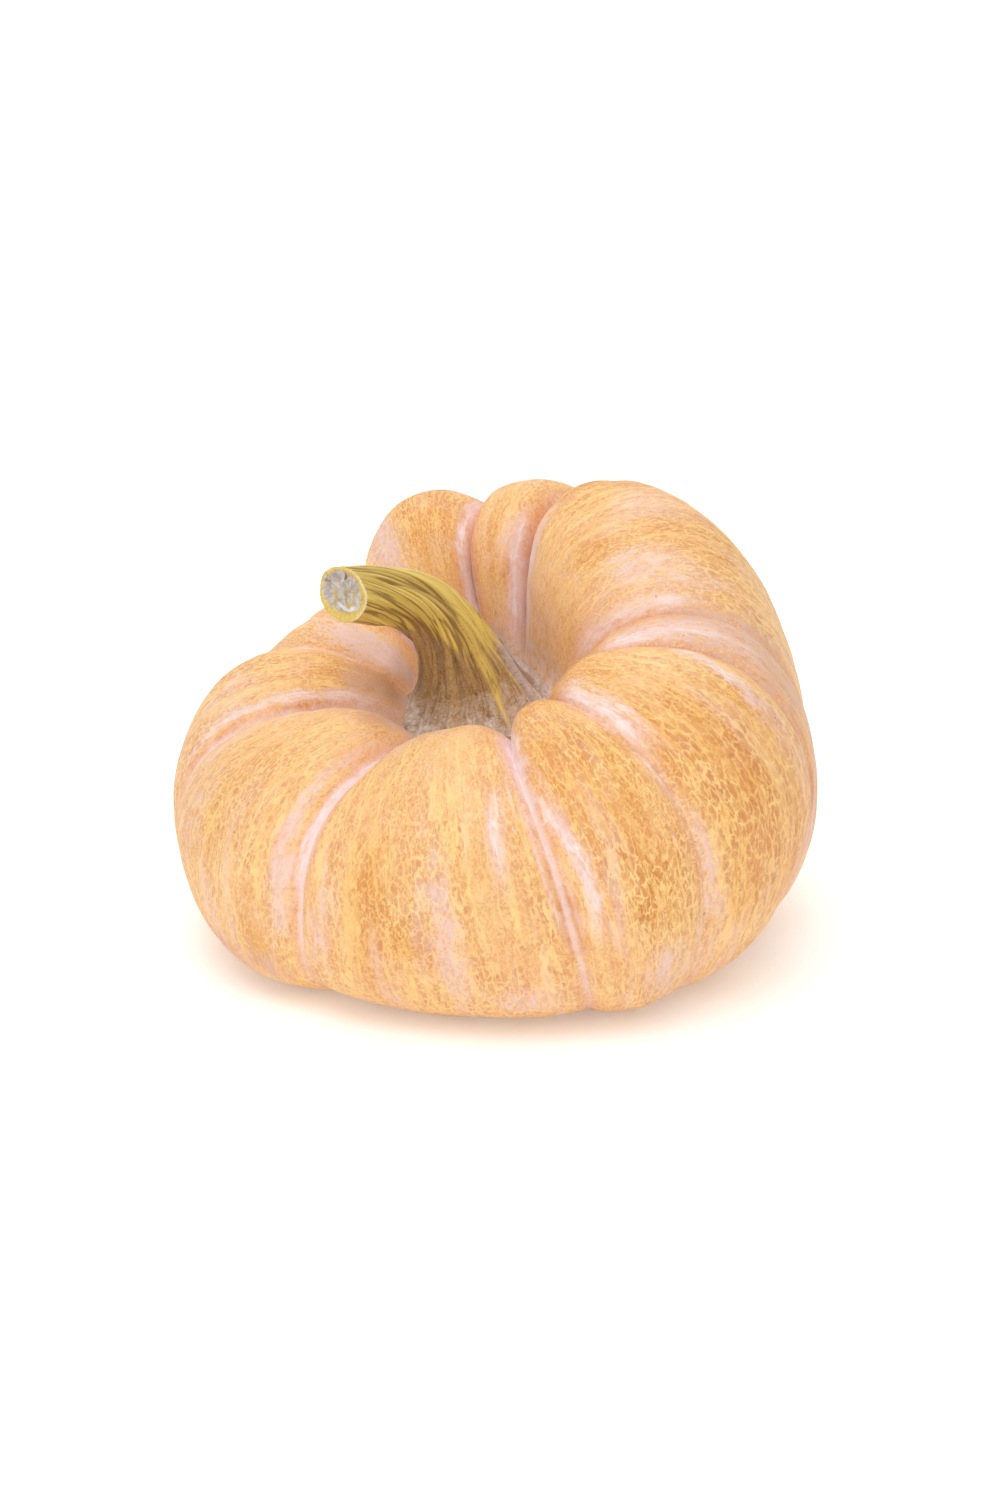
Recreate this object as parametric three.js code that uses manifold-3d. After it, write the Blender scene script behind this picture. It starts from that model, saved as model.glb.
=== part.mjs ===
// A ribbed, flattened pumpkin with its curved, cut stem.
// Millimetres, +Z up. The fruit stands on z = 0, and its outline is centred on x = 0, y = 0.
// Azimuths are in degrees, anticlockwise from +X as seen from above.
// The crown of the fruit leans: its rim is low in front on the left and high behind on the right.

import * as THREE from "three";
import { ParametricGeometry } from "three/addons/geometries/ParametricGeometry.js";
import { mergeVertices } from "three/addons/utils/BufferGeometryUtils.js";
import Module from "manifold-3d";

// Driving dimensions of the fruit
const EQUATOR_RADIUS = 139;
const CROWN_LEAN = 26.5;
const CROWN_LEAN_AZIMUTH = 236;
const RESTING_FLAT_DEPTH = 3.5;

// Half outline in shares of the equator radius, from the stem's seat over the rim to the blossom end.
const PROFILE = [
  [0.0, 0.23],
  [0.12, 0.23],
  [0.21, 0.26],
  [0.27, 0.37],
  [0.36, 0.51],
  [0.5, 0.58],
  [0.69, 0.56],
  [0.86, 0.43],
  [0.97, 0.21],
  [1.0, -0.03],
  [0.98, -0.23],
  [0.9, -0.395],
  [0.73, -0.495],
  [0.47, -0.52],
  [0.22, -0.5],
  [0.0, -0.48],
];

// The ten grooves between the lobes, anticlockwise from the right side.
// The azimuth is at the crest, twist is its change down to the blossom end, bow its swing on the way,
// and depth a share of GROOVE_DEPTH.
const GROOVES = [
  { azimuth: -5, twist: 8, bow: 0, depth: 0.6 },
  { azimuth: 61, twist: -2, bow: -1, depth: 1.45 },
  { azimuth: 87, twist: -2, bow: -4, depth: 1.25 },
  { azimuth: 125, twist: 0, bow: 0, depth: 1.0 },
  { azimuth: 157, twist: 0, bow: 0, depth: 0.6 },
  { azimuth: 187, twist: 5, bow: 0, depth: 0.9 },
  { azimuth: 236, twist: -2, bow: -4, depth: 1.0 },
  { azimuth: 286, twist: 9, bow: -10, depth: 1.0 },
  { azimuth: 312, twist: -2, bow: -7, depth: 0.6 },
  { azimuth: 342, twist: 4, bow: 0, depth: 0.6 },
];

// Depth of a full groove, in mm, at shares of the way from the stem's seat to the blossom end.
const GROOVE_DEPTH = [
  [0.0, 0],
  [0.1, 1],
  [0.18, 7],
  [0.26, 13],
  [0.34, 13],
  [0.46, 9],
  [0.6, 6],
  [0.75, 5],
  [0.9, 3],
  [1.0, 0],
];
const LOBE_SQUARENESS = 2.6;
const LOBE_FULLNESS = 0.62;
const WIDE_LOBE_SWELL = 0.008;
const EVEN_LOBE_HALF_WIDTH = 44;

// How the lobes differ, in mm: rise of the rim, and moves outward of the shoulder, the seat and the belly.
const CROWN = [
  { azimuth: -10, rise: -2, shoulder: -3, seat: 2, belly: -2 },
  { azimuth: 8, rise: 6, shoulder: -7, seat: 1, belly: 0 },
  { azimuth: 22, rise: 10, shoulder: -2, seat: 0, belly: 0 },
  { azimuth: 50, rise: 16, shoulder: 3, seat: 0, belly: 0 },
  { azimuth: 80, rise: 9.5, shoulder: 0, seat: 0, belly: 0 },
  { azimuth: 105, rise: 12, shoulder: 1, seat: 0, belly: 0 },
  { azimuth: 114, rise: 3, shoulder: -2, seat: 0, belly: 0 },
  { azimuth: 125, rise: -13, shoulder: -13, seat: 0, belly: 0 },
  { azimuth: 150, rise: -13, shoulder: -5, seat: -4, belly: 0 },
  { azimuth: 165, rise: -3.5, shoulder: 5, seat: -4, belly: 0 },
  { azimuth: 176, rise: -5, shoulder: 9, seat: -4, belly: 0 },
  { azimuth: 197, rise: -4, shoulder: 11, seat: 0, belly: -3.5 },
  { azimuth: 212, rise: 0, shoulder: 8, seat: 0, belly: 0.5 },
  { azimuth: 222, rise: 0, shoulder: 7, seat: 0, belly: 2 },
  { azimuth: 260, rise: 3, shoulder: 1, seat: 0, belly: 0 },
  { azimuth: 300, rise: 1, shoulder: 5, seat: -4, belly: 0 },
  { azimuth: 334, rise: 0.5, shoulder: 2, seat: -2, belly: -10 },
];

// Where each of these starts, is full, starts to fade and is gone, on the way from the seat to the blossom end.
const RIM_SPAN = [0.1, 0.33, 0.4, 0.75];
const SHOULDER_SPAN = [0.3, 0.55, 0.75, 0.98];
const SEAT_SPAN = [0.08, 0.25, 0.33, 0.6];
const BELLY_SPAN = [0.52, 0.72, 0.84, 1];
// The lean fades over the first of these stretches, and the grooves twist and bow over the others.
const LEAN_FADE = [0.3, 0.8];
const TWIST_STRETCH = [0.3, 0.95];
const BOW_STRETCH = [0.25, 0.95];
const FRUIT_COLUMNS_PER_LOBE = 9;
const FRUIT_RINGS = 34;

// Driving dimensions of the stem: its centre line from inside the seat to the cut, then its radius along it.
const STEM_PATH = [
  [-6, -9, 87],
  [-8, -11.5, 101],
  [-10, -14, 113],
  [-14.5, -17.5, 128],
  [-22, -23, 144],
  [-34.5, -33, 157.5],
  [-48.5, -45, 165],
  [-62, -57, 169],
];
const STEM_RADIUS = [
  [0.0, 36],
  [0.14, 32],
  [0.25, 25.5],
  [0.36, 19.5],
  [0.48, 15.2],
  [0.6, 13.2],
  [0.78, 12.2],
  [1.0, 12],
];
// Height of the stem's ridges as a share of its radius, along the stem.
const STEM_RIDGES = [
  [0.0, 0.2],
  [0.25, 0.16],
  [0.6, 0.09],
  [1.0, 0.07],
];
const MAIN_RIDGES = 5;
const MAIN_RIDGE_SHARE = 0.75;
const FINE_RIDGE_SHARE = 0.25;
const FINE_RIDGE_TURN = 0.6;
const RIDGE_SHARPNESS = 0.8;
const STEM_BEND_AZIMUTH = 219;
const CUT_AZIMUTH = 238;
const CUT_ELEVATION = 4;
const CUT_BLEND_START = 0.8;
const STEM_COLUMNS = 50;
const STEM_RINGS = 26;
const STEM_TO_FRUIT_GAP = 0.3;

const FULL_TURN = 360;
const MERGE_DISTANCE = 1e-3;
const CURVE_TENSION = 0.5;
const { clamp, degToRad, euclideanModulo, inverseLerp, lerp, smoothstep } = THREE.MathUtils;

// Straight-line reading of a list of [place, value] pairs.
function valueAlong(pairs, place) {
  const next = Math.max(1, pairs.findIndex((pair) => pair[0] >= place));
  const [start, startValue] = pairs[next - 1];
  const [end, endValue] = pairs[next];
  return lerp(startValue, endValue, (place - start) / (end - start));
}

// Rises to 1 and falls back to 0 over the four places of a span.
function shareWithin([start, full, fading, gone], place) {
  return smoothstep(place, start, full) * (1 - smoothstep(place, fading, gone));
}

// Smooth curve through b and c, at share u between them, with a before and d after.
function smoothBetween(a, b, c, d, u) {
  const line = 2 * b + (c - a) * u;
  const square = (2 * a - 5 * b + 4 * c - d) * u ** 2;
  const cube = (3 * b - a - 3 * c + d) * u ** 3;
  return (line + square + cube) / 2;
}

// The lobes' differences at an azimuth, read smoothly around the fruit.
function crownAt(azimuth) {
  const first = CROWN[0].azimuth;
  const turned = euclideanModulo(azimuth - first, FULL_TURN) + first;
  const start = CROWN.findLastIndex((row) => row.azimuth <= turned);
  const rows = [-1, 0, 1, 2].map((step) => CROWN[euclideanModulo(start + step, CROWN.length)]);
  const span = euclideanModulo(rows[2].azimuth - rows[1].azimuth, FULL_TURN);
  const share = (turned - rows[1].azimuth) / span;
  const read = (name) => smoothBetween(...rows.map((row) => row[name]), share);
  return { rise: read("rise"), shoulder: read("shoulder"), seat: read("seat"), belly: read("belly") };
}

// A point of the fruit before it is set on the ground.
// around runs 0 to 1 over all the lobes, and down runs 0 to 1 from the stem's seat to the blossom end.
const outline = new THREE.SplineCurve(PROFILE.map(([x, y]) => new THREE.Vector2(x, y)));

function fruitPoint(around, down, target) {
  const lobe = Math.floor(around * GROOVES.length);
  const across = -Math.cos(Math.PI * (around * GROOVES.length - lobe));
  const share = (across + 1) / 2;
  const left = GROOVES[lobe % GROOVES.length];
  const right = GROOVES[(lobe + 1) % GROOVES.length];
  const lap = lobe % GROOVES.length === GROOVES.length - 1 ? FULL_TURN : 0;

  const crest = lerp(left.azimuth, right.azimuth + lap, share);
  const twisted = smoothstep(down, ...TWIST_STRETCH);
  const bowed = Math.sin(Math.PI * clamp(inverseLerp(...BOW_STRETCH, down), 0, 1));
  const azimuth = crest
    + lerp(left.twist, right.twist, share) * twisted
    + lerp(left.bow, right.bow, share) * bowed;

  const bulge = (1 - Math.abs(across) ** LOBE_SQUARENESS) ** LOBE_FULLNESS;
  const depth = valueAlong(GROOVE_DEPTH, down);
  const halfWidth = degToRad(right.azimuth + lap - left.azimuth) * EQUATOR_RADIUS / 2;
  const swell = WIDE_LOBE_SWELL * (halfWidth - EVEN_LOBE_HALF_WIDTH) * depth * bulge;
  const relief = depth * lerp(left.depth, right.depth, share) * (bulge - 1) + swell;

  const crown = crownAt(crest);
  const base = outline.getPoint(down).multiplyScalar(EQUATOR_RADIUS);
  const tangent = outline.getTangent(down);
  const radius = base.x - tangent.y * relief
    + crown.shoulder * shareWithin(SHOULDER_SPAN, down)
    + crown.seat * shareWithin(SEAT_SPAN, down)
    + crown.belly * shareWithin(BELLY_SPAN, down);
  const height = base.y + tangent.x * relief + crown.rise * shareWithin(RIM_SPAN, down);

  // The whole crown leans about a level axis, less and less towards the blossom end.
  const lean = degToRad(CROWN_LEAN) * (1 - smoothstep(down, ...LEAN_FADE));
  const fromLean = degToRad(azimuth - CROWN_LEAN_AZIMUTH);
  const along = radius * Math.cos(fromLean) * Math.cos(lean) + height * Math.sin(lean);
  const side = radius * Math.sin(fromLean);
  const z = height * Math.cos(lean) - radius * Math.cos(fromLean) * Math.sin(lean);
  const leanAngle = degToRad(CROWN_LEAN_AZIMUTH);
  const x = along * Math.cos(leanAngle) - side * Math.sin(leanAngle);
  const y = along * Math.sin(leanAngle) + side * Math.cos(leanAngle);
  return target.set(x, y, z);
}

// Makes a geometry one closed mesh: shared corners are merged, and the triangles that a pole folds away go.
function closedMesh(geometry) {
  geometry.deleteAttribute("normal");
  geometry.deleteAttribute("uv");
  const merged = mergeVertices(geometry, MERGE_DISTANCE);
  const corners = merged.getIndex();
  const kept = [];
  for (let i = 0; i < corners.count; i += 3) {
    const triangle = [corners.getX(i), corners.getX(i + 1), corners.getX(i + 2)];
    if (new Set(triangle).size === 3) {
      kept.push(...triangle);
    }
  }
  merged.setIndex(kept);
  return merged;
}

// The fruit, centred and flattened a little where it rests.
function fruitGeometry() {
  const surface = (u, v, target) => fruitPoint(u, 1 - v, target);
  const columns = FRUIT_COLUMNS_PER_LOBE * GROOVES.length;
  const geometry = closedMesh(new ParametricGeometry(surface, columns, FRUIT_RINGS));
  geometry.computeBoundingBox();
  const box = geometry.boundingBox;
  const centre = box.getCenter(new THREE.Vector3());
  geometry.translate(-centre.x, -centre.y, -box.min.z - RESTING_FLAT_DEPTH);
  const position = geometry.getAttribute("position");
  for (let i = 0; i < position.count; i += 1) {
    position.setZ(i, Math.max(position.getZ(i), 0));
  }
  return geometry;
}

// The same closed mesh with every corner moved out by a distance.
function grown(geometry, distance) {
  const larger = geometry.clone();
  larger.computeVertexNormals();
  const position = larger.getAttribute("position");
  const normal = larger.getAttribute("normal");
  const corner = new THREE.Vector3();
  const outward = new THREE.Vector3();
  for (let i = 0; i < position.count; i += 1) {
    outward.fromBufferAttribute(normal, i);
    corner.fromBufferAttribute(position, i).addScaledVector(outward, distance);
    position.setXYZ(i, corner.x, corner.y, corner.z);
  }
  larger.deleteAttribute("normal");
  return larger;
}

// The unit vector at an azimuth and an elevation.
function direction(azimuth, elevation) {
  const level = Math.cos(degToRad(elevation));
  return new THREE.Vector3(
    level * Math.cos(degToRad(azimuth)),
    level * Math.sin(degToRad(azimuth)),
    Math.sin(degToRad(elevation)),
  );
}

// Five main ridges run along the stem, with finer ones between them.
function ridgeHeight(angle) {
  const main = Math.abs(Math.cos((MAIN_RIDGES / 2) * angle)) ** RIDGE_SHARPNESS;
  const fine = Math.abs(Math.cos(MAIN_RIDGES * angle + FINE_RIDGE_TURN));
  return 2 * (MAIN_RIDGE_SHARE * main + FINE_RIDGE_SHARE * fine) - 1;
}

// The stem: a ridged tube that flares at its seat, bends over and ends in a slanted cut.
function stemGeometry() {
  const points = STEM_PATH.map((point) => new THREE.Vector3(...point));
  const path = new THREE.CatmullRomCurve3(points, false, "catmullrom", CURVE_TENSION);
  const acrossBend = direction(STEM_BEND_AZIMUTH + 90, 0);
  const cutNormal = direction(CUT_AZIMUTH, CUT_ELEVATION);

  const surface = (u, v, target) => {
    const ring = Math.round(v * STEM_RINGS);
    const along = clamp((ring - 1) / (STEM_RINGS - 2), 0, 1);
    const centre = path.getPoint(along);
    if (ring === 0 || ring === STEM_RINGS) {
      return target.copy(centre);
    }
    const tangent = path.getTangent(along);
    const first = acrossBend.clone().addScaledVector(tangent, -acrossBend.dot(tangent)).normalize();
    const second = tangent.clone().cross(first);
    const angle = 2 * Math.PI * u;
    const ridges = 1 + valueAlong(STEM_RIDGES, along) * ridgeHeight(angle);
    const radius = valueAlong(STEM_RADIUS, along) * ridges;
    const radial = first.multiplyScalar(Math.cos(angle) * radius);
    radial.addScaledVector(second, Math.sin(angle) * radius);
    const slant = -smoothstep(along, CUT_BLEND_START, 1) * radial.dot(cutNormal) / tangent.dot(cutNormal);
    return target.copy(centre).add(radial).addScaledVector(tangent, slant);
  };
  return closedMesh(new ParametricGeometry(surface, STEM_COLUMNS, STEM_RINGS));
}

const wasm = await Module();
wasm.setup();

function solidFrom(geometry) {
  const vertProperties = new Float32Array(geometry.getAttribute("position").array);
  const triVerts = new Uint32Array(geometry.getIndex().array);
  return new wasm.Manifold(new wasm.Mesh({ numProp: 3, vertProperties, triVerts }));
}

function geometryFrom(solid) {
  const { vertProperties, triVerts } = solid.getMesh();
  const geometry = new THREE.BufferGeometry();
  geometry.setAttribute("position", new THREE.BufferAttribute(vertProperties, 3));
  geometry.setIndex(new THREE.BufferAttribute(triVerts, 1));
  return geometry;
}

function namedMesh(name, geometry, material) {
  const mesh = new THREE.Mesh(geometry, material);
  mesh.name = name;
  return mesh;
}

const rind = new THREE.MeshStandardMaterial({ color: "#d89a58", roughness: 0.5, metalness: 0 });
const driedStem = new THREE.MeshStandardMaterial({ color: "#94803a", roughness: 0.8, metalness: 0 });

const fruit = fruitGeometry();
const stem = solidFrom(stemGeometry()).subtract(solidFrom(grown(fruit, STEM_TO_FRUIT_GAP)));

const pumpkin = new THREE.Group();
pumpkin.add(namedMesh("fruit", fruit, rind));
pumpkin.add(namedMesh("stem", geometryFrom(stem), driedStem));

export default pumpkin;
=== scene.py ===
"""A ribbed, flattened pumpkin with its dried, curved stem.

Lengths in the shape tables are millimetres and angles are degrees, anticlockwise from +X seen from above.
The scene is in metres, +Z up, and the pumpkin stands on z = 0.
"""

import math

import bmesh
import bpy
import numpy as np
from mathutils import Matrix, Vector, noise


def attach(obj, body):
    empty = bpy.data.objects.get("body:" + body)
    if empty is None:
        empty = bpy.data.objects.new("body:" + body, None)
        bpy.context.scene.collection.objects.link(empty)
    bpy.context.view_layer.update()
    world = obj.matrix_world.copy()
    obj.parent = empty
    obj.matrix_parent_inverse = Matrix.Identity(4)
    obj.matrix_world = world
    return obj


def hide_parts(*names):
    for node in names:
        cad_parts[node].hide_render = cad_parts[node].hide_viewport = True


bl_info = {
    "name": "Ribbed Pumpkin",
    "version": (1, 0, 0),
    "blender": (4, 5, 0),
    "location": "View3D > Sidebar > Pumpkin",
    "description": "Builds a flattened, ribbed pumpkin with a dried stem on a plain pale floor",
    "category": "Add Mesh",
}

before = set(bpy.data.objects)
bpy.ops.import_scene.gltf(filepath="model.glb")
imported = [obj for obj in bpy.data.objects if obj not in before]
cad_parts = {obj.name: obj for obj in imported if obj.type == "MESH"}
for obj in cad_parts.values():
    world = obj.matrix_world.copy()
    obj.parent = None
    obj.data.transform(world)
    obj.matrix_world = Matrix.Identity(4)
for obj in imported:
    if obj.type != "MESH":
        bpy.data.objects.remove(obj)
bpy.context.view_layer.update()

MM = 0.001
FULL_TURN = 360.0
ROUNDING = 1e-9
TANGENT_STEP = 1e-4

# Half outline of the fruit in shares of the equator radius, from the stem's seat to the blossom end.
PROFILE = (
    (0.0, 0.23),
    (0.12, 0.23),
    (0.21, 0.26),
    (0.27, 0.37),
    (0.36, 0.51),
    (0.5, 0.58),
    (0.69, 0.56),
    (0.86, 0.43),
    (0.97, 0.21),
    (1.0, -0.03),
    (0.98, -0.23),
    (0.9, -0.395),
    (0.73, -0.495),
    (0.47, -0.52),
    (0.22, -0.5),
    (0.0, -0.48),
)

# The grooves between the lobes: azimuth at the crest, twist and bow on the way down, share of full depth.
GROOVES = (
    (-5, 8, 0, 0.6),
    (61, -2, -1, 1.45),
    (87, -2, -4, 1.25),
    (125, 0, 0, 1.0),
    (157, 0, 0, 0.6),
    (187, 5, 0, 0.9),
    (236, -2, -4, 1.0),
    (286, 9, -10, 1.0),
    (312, -2, -7, 0.6),
    (342, 4, 0, 0.6),
)
GROOVE_DEPTH = (
    (0.0, 0),
    (0.1, 1),
    (0.18, 7),
    (0.26, 13),
    (0.34, 13),
    (0.46, 9),
    (0.6, 6),
    (0.75, 4),
    (0.9, 2),
    (1.0, 0),
)
LOBE_SQUARENESS = 2.6
LOBE_FULLNESS = 0.62
GROOVE_ROUNDING = 0.13
WIDE_LOBE_SWELL = 0.008
EVEN_LOBE_HALF_WIDTH = 44

# How the lobes differ round the fruit: azimuth, rise of the rim, moves out of shoulder, seat and belly.
CROWN = (
    (-10, -2, -3, 2, -2),
    (8, 6, -7, 1, 0),
    (22, 10, -2, 0, 0),
    (50, 16, 3, 0, 0),
    (80, 9.5, 0, 0, 0),
    (105, 12, 1, 0, 0),
    (114, 3, -2, 0, 0),
    (125, -13, -13, 0, 0),
    (150, -13, -5, -4, 0),
    (165, -3.5, 5, -4, 0),
    (176, -5, 9, -4, 0),
    (197, -4, 11, 0, -3.5),
    (212, 0, 8, 0, 0.5),
    (222, 0, 7, 0, 2),
    (260, 3, 1, 0, 0),
    (300, 1, 5, -4, 0),
    (334, 0.5, 2, -2, -10),
)
RIM_SPAN = (0.1, 0.33, 0.4, 0.75)
SHOULDER_SPAN = (0.3, 0.55, 0.75, 0.98)
SEAT_SPAN = (0.08, 0.25, 0.33, 0.6)
BELLY_SPAN = (0.52, 0.72, 0.84, 1.0)
LEAN_FADE = (0.3, 0.8)
TWIST_STRETCH = (0.3, 0.95)
BOW_STRETCH = (0.25, 0.95)
LEAN_AZIMUTH = 236.0
RESTING_FLAT_DEPTH = 3.5
SETTLING_COLUMNS = 9
SETTLING_RINGS = 34
WAVE_SPAN = (0.08, 0.3, 0.8, 0.95)
WAVE_SCALE = 0.02

# Shallow furrows inside the lobes: points as (azimuth, share down), then depth and half width.
# Places on the front follow the photo, seen through the camera, and those behind are guessed.
FURROWS = (
    (((289, 0.43), (290, 0.50), (292, 0.56), (292, 0.66)), 1.6, 5.0),
    (((278, 0.42), (277, 0.50), (276, 0.60)), 1.3, 5.0),
    (((184, 0.30), (200, 0.36), (208, 0.43), (214, 0.55)), 1.6, 6.0),
    (((228, 0.50), (227, 0.58), (226, 0.68)), 1.0, 5.0),
    (((50, 0.28), (49, 0.36), (47, 0.48)), 1.2, 5.0),
    (((252, 0.40), (250, 0.50), (249, 0.62)), 1.0, 7.0),
    (((330, 0.36), (331, 0.46), (331, 0.58)), 0.8, 6.0),
    (((20, 0.46), (16, 0.55), (14, 0.66)), 1.0, 7.0),
    (((105, 0.40), (105, 0.52), (103, 0.66)), 1.2, 6.0),
    (((140, 0.40), (141, 0.52), (141, 0.66)), 1.0, 6.0),
)

# How a furrow and a whitish band ease past their first and their last place.
FURROW_ENDS = (-0.03, 0.05, -0.08, 0.04)
BAND_ENDS = (-0.02, 0.04, -0.06, 0.02)

# The stem's centre line from inside the seat to the cut, its radius and its ridges along it.
# The upper points of the line are places on the photo's stem, solved for through the camera.
STEM_PATH = (
    (-6, -9, 87),
    (-8, -11.5, 101),
    (-10, -14, 113),
    (-14.5, -17.5, 128),
    (-22, -23, 144),
    (-34.5, -33, 157.5),
    (-48.5, -45, 165),
    (-62, -57, 169),
)
STEM_RADIUS = (
    (0.0, 36),
    (0.14, 32),
    (0.25, 25.5),
    (0.36, 19.5),
    (0.48, 15.2),
    (0.6, 13.2),
    (0.78, 11.8),
    (1.0, 11.4),
)
STEM_RIDGES = (
    (0.0, 0.2),
    (0.25, 0.16),
    (0.6, 0.09),
    (0.85, 0.06),
    (1.0, 0.02),
)
MAIN_RIDGES = 5
STEM_BEND_AZIMUTH = 219
CUT_AZIMUTH = 238
CUT_ELEVATION = 4
CUT_BLEND_START = 0.8
STEM_LENGTH = 135.0
STEM_FLOW_RADIUS = 15.0
RIDGE_WANDER = 0.5

# The ridges turn on the way up, by degrees at shares of the stem's length.
RIDGE_TURN = (
    (0.0, -4),
    (0.3, 0),
    (0.5, 12),
    (0.6, 25),
    (0.7, 45),
    (0.8, 65),
    (1.0, 100),
)

# How far up the brown foot reaches, at degrees round the stem.
BROWN_REACH = (
    (-180, 0.70),
    (-90, 0.98),
    (-65, 0.82),
    (-45, 0.66),
    (-25, 0.54),
    (0, 0.46),
    (40, 0.50),
    (90, 0.34),
    (135, 0.34),
    (180, 0.70),
)

# Marked ribs: azimuth and half width in degrees, height in mm, start and end along the stem, strength.
STEM_RIBS = (
    (-10, 5, 1.3, 0.14, 0.75, 0.75),
    (24, 4, 1.0, 0.14, 0.60, 0.55),
    (42, 4, 1.4, 0.05, 0.55, 0.35),
    (60, 4, 1.8, 0.05, 0.45, 0.3),
    (80, 5, 1.8, 0.05, 0.45, 0.3),
    (-60, 6, 1.2, 0.08, 0.50, 0.35),
    (-115, 8, 1.8, 0.05, 0.50, 0.4),
    (150, 8, 1.8, 0.05, 0.70, 0.6),
)

# The cut end from its rim to its middle: share of the stem's radius, and how far it is sunk.
CUT_PROFILE = (
    (1.0, 0.0),
    (0.96, -0.5),
    (0.86, -0.4),
    (0.8, 0.5),
    (0.72, 1.3),
    (0.5, 0.8),
    (0.3, 1.2),
    (0.12, 1.9),
    (0.0, 1.9),
)
CUT_RINGS = 28

# Grey ribs at the foot: azimuth and half width.
ASH_PLACE = (62, 34)
ASH_SPAN = (0.05, 0.2, 0.36, 0.56)

# Surface lengths for the textures, and how near two vertices of a seam are.
SEAM_MERGE = 1e-5
FLOW_RADIUS = 110.0
NARROWEST_FLOW = 50.0
LENGTH_SAMPLES = 400

# The camera stands in front at the height that shows the crown, and the floor reaches well past the view.
CAMERA_DISTANCE = 1.4
CAMERA_ELEVATION = 19.0
CAMERA_LENS = 77.41
PICTURE_WIDTH = 1000
PICTURE_HEIGHT = 1500
AIM_PIXEL = (494.5, 713.5)
AIM = (0.0, 0.0, 0.0976)
CAMERA_AZIMUTH = 270.0

# The soft square lights: place and side.
KEY_LIGHT = ((-0.35, -1.35, 1.75), 2.2)
FILL_LIGHT = ((1.3, -1.0, 0.9), 1.4)
TOP_LIGHT = ((-0.25, -0.45, 1.95), 1.5)
FLOOR_LIGHT = ((0.0, 3.2, 2.4), 3.0)


def smoothstep(value, start, end):
    """Eases from 0 at start to 1 at end."""
    share = np.clip((value - start) / (end - start), 0.0, 1.0)
    return share * share * (3.0 - 2.0 * share)


def share_within(span, place):
    """Rises to 1 and falls back to 0 over the four places of a span."""
    start, full, fading, gone = span
    return smoothstep(place, start, full) * (1.0 - smoothstep(place, fading, gone))


def eased_ends(places, ends, down):
    """1 along a line of places, eased past its first and its last."""
    before, full, fading, gone = ends
    first, last = places[0], places[-1]
    return share_within((first + before, first + full, last + fading, last + gone), down)


def value_along(pairs, place):
    """Straight-line reading of (place, value) pairs."""
    places, values = zip(*pairs)
    return np.interp(place, places, values)


def smooth_between(a, b, c, d, share):
    """Smooth curve through b and c, with a before and d after."""
    line = 2.0 * b + (c - a) * share
    square = (2.0 * a - 5.0 * b + 4.0 * c - d) * share**2
    cube = (3.0 * b - a - 3.0 * c + d) * share**3
    return 0.5 * (line + square + cube)


def curve_through(points, share, carried_on):
    """Points of an even smooth curve; its ends are carried on straight or held still."""
    points = np.array(points, float)
    before = 2.0 * points[0] - points[1] if carried_on else points[0]
    after = 2.0 * points[-1] - points[-2] if carried_on else points[-1]
    extended = np.vstack([before, points, after])
    spans = len(points) - 1
    place = np.clip(share, 0.0, 1.0) * spans
    index = np.minimum(np.floor(place).astype(int), spans - 1)
    part = (place - index)[..., None]
    return smooth_between(
        extended[index],
        extended[index + 1],
        extended[index + 2],
        extended[index + 3],
        part,
    )


def direction(azimuth, elevation):
    """The unit vector at an azimuth and an elevation."""
    level = math.cos(math.radians(elevation))
    return np.array(
        (
            level * math.cos(math.radians(azimuth)),
            level * math.sin(math.radians(azimuth)),
            math.sin(math.radians(elevation)),
        )
    )


def crown_at(azimuth):
    """The lobes' differences at each azimuth, read smoothly round the fruit."""
    rows = np.array(CROWN, float)
    places = rows[:, 0]
    turned = (azimuth - places[0]) % FULL_TURN + places[0]
    start = np.searchsorted(places, turned, side="right") - 1
    count = len(rows)
    span = (places[(start + 1) % count] - places[start]) % FULL_TURN
    share = ((turned - places[start]) / span)[..., None]
    values = rows[:, 1:]
    return smooth_between(
        values[(start - 1) % count],
        values[start],
        values[(start + 1) % count],
        values[(start + 2) % count],
        share,
    )


def lobe_place(around):
    """Lobe, place across it, crest azimuth, half width and groove values at shares of the way round."""
    count = len(GROOVES)
    grooves = np.array(GROOVES, float)
    lobe = np.minimum(np.floor(around * count + ROUNDING).astype(int), count - 1)
    across = -np.cos(np.pi * np.clip(around * count - lobe, 0.0, 1.0))
    after = (lobe + 1) % count
    share = (across + 1.0) / 2.0
    end = grooves[after, 0] + np.where(after == 0, FULL_TURN, 0.0)
    crest = grooves[lobe, 0] * (1.0 - share) + end * share
    half_angle = (end - grooves[lobe, 0]) / 2.0
    twist, bow, groove_share = grooves[lobe, 1:].T * (1.0 - share) + grooves[after, 1:].T * share
    return lobe, across, crest, half_angle, twist, bow, groove_share


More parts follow.
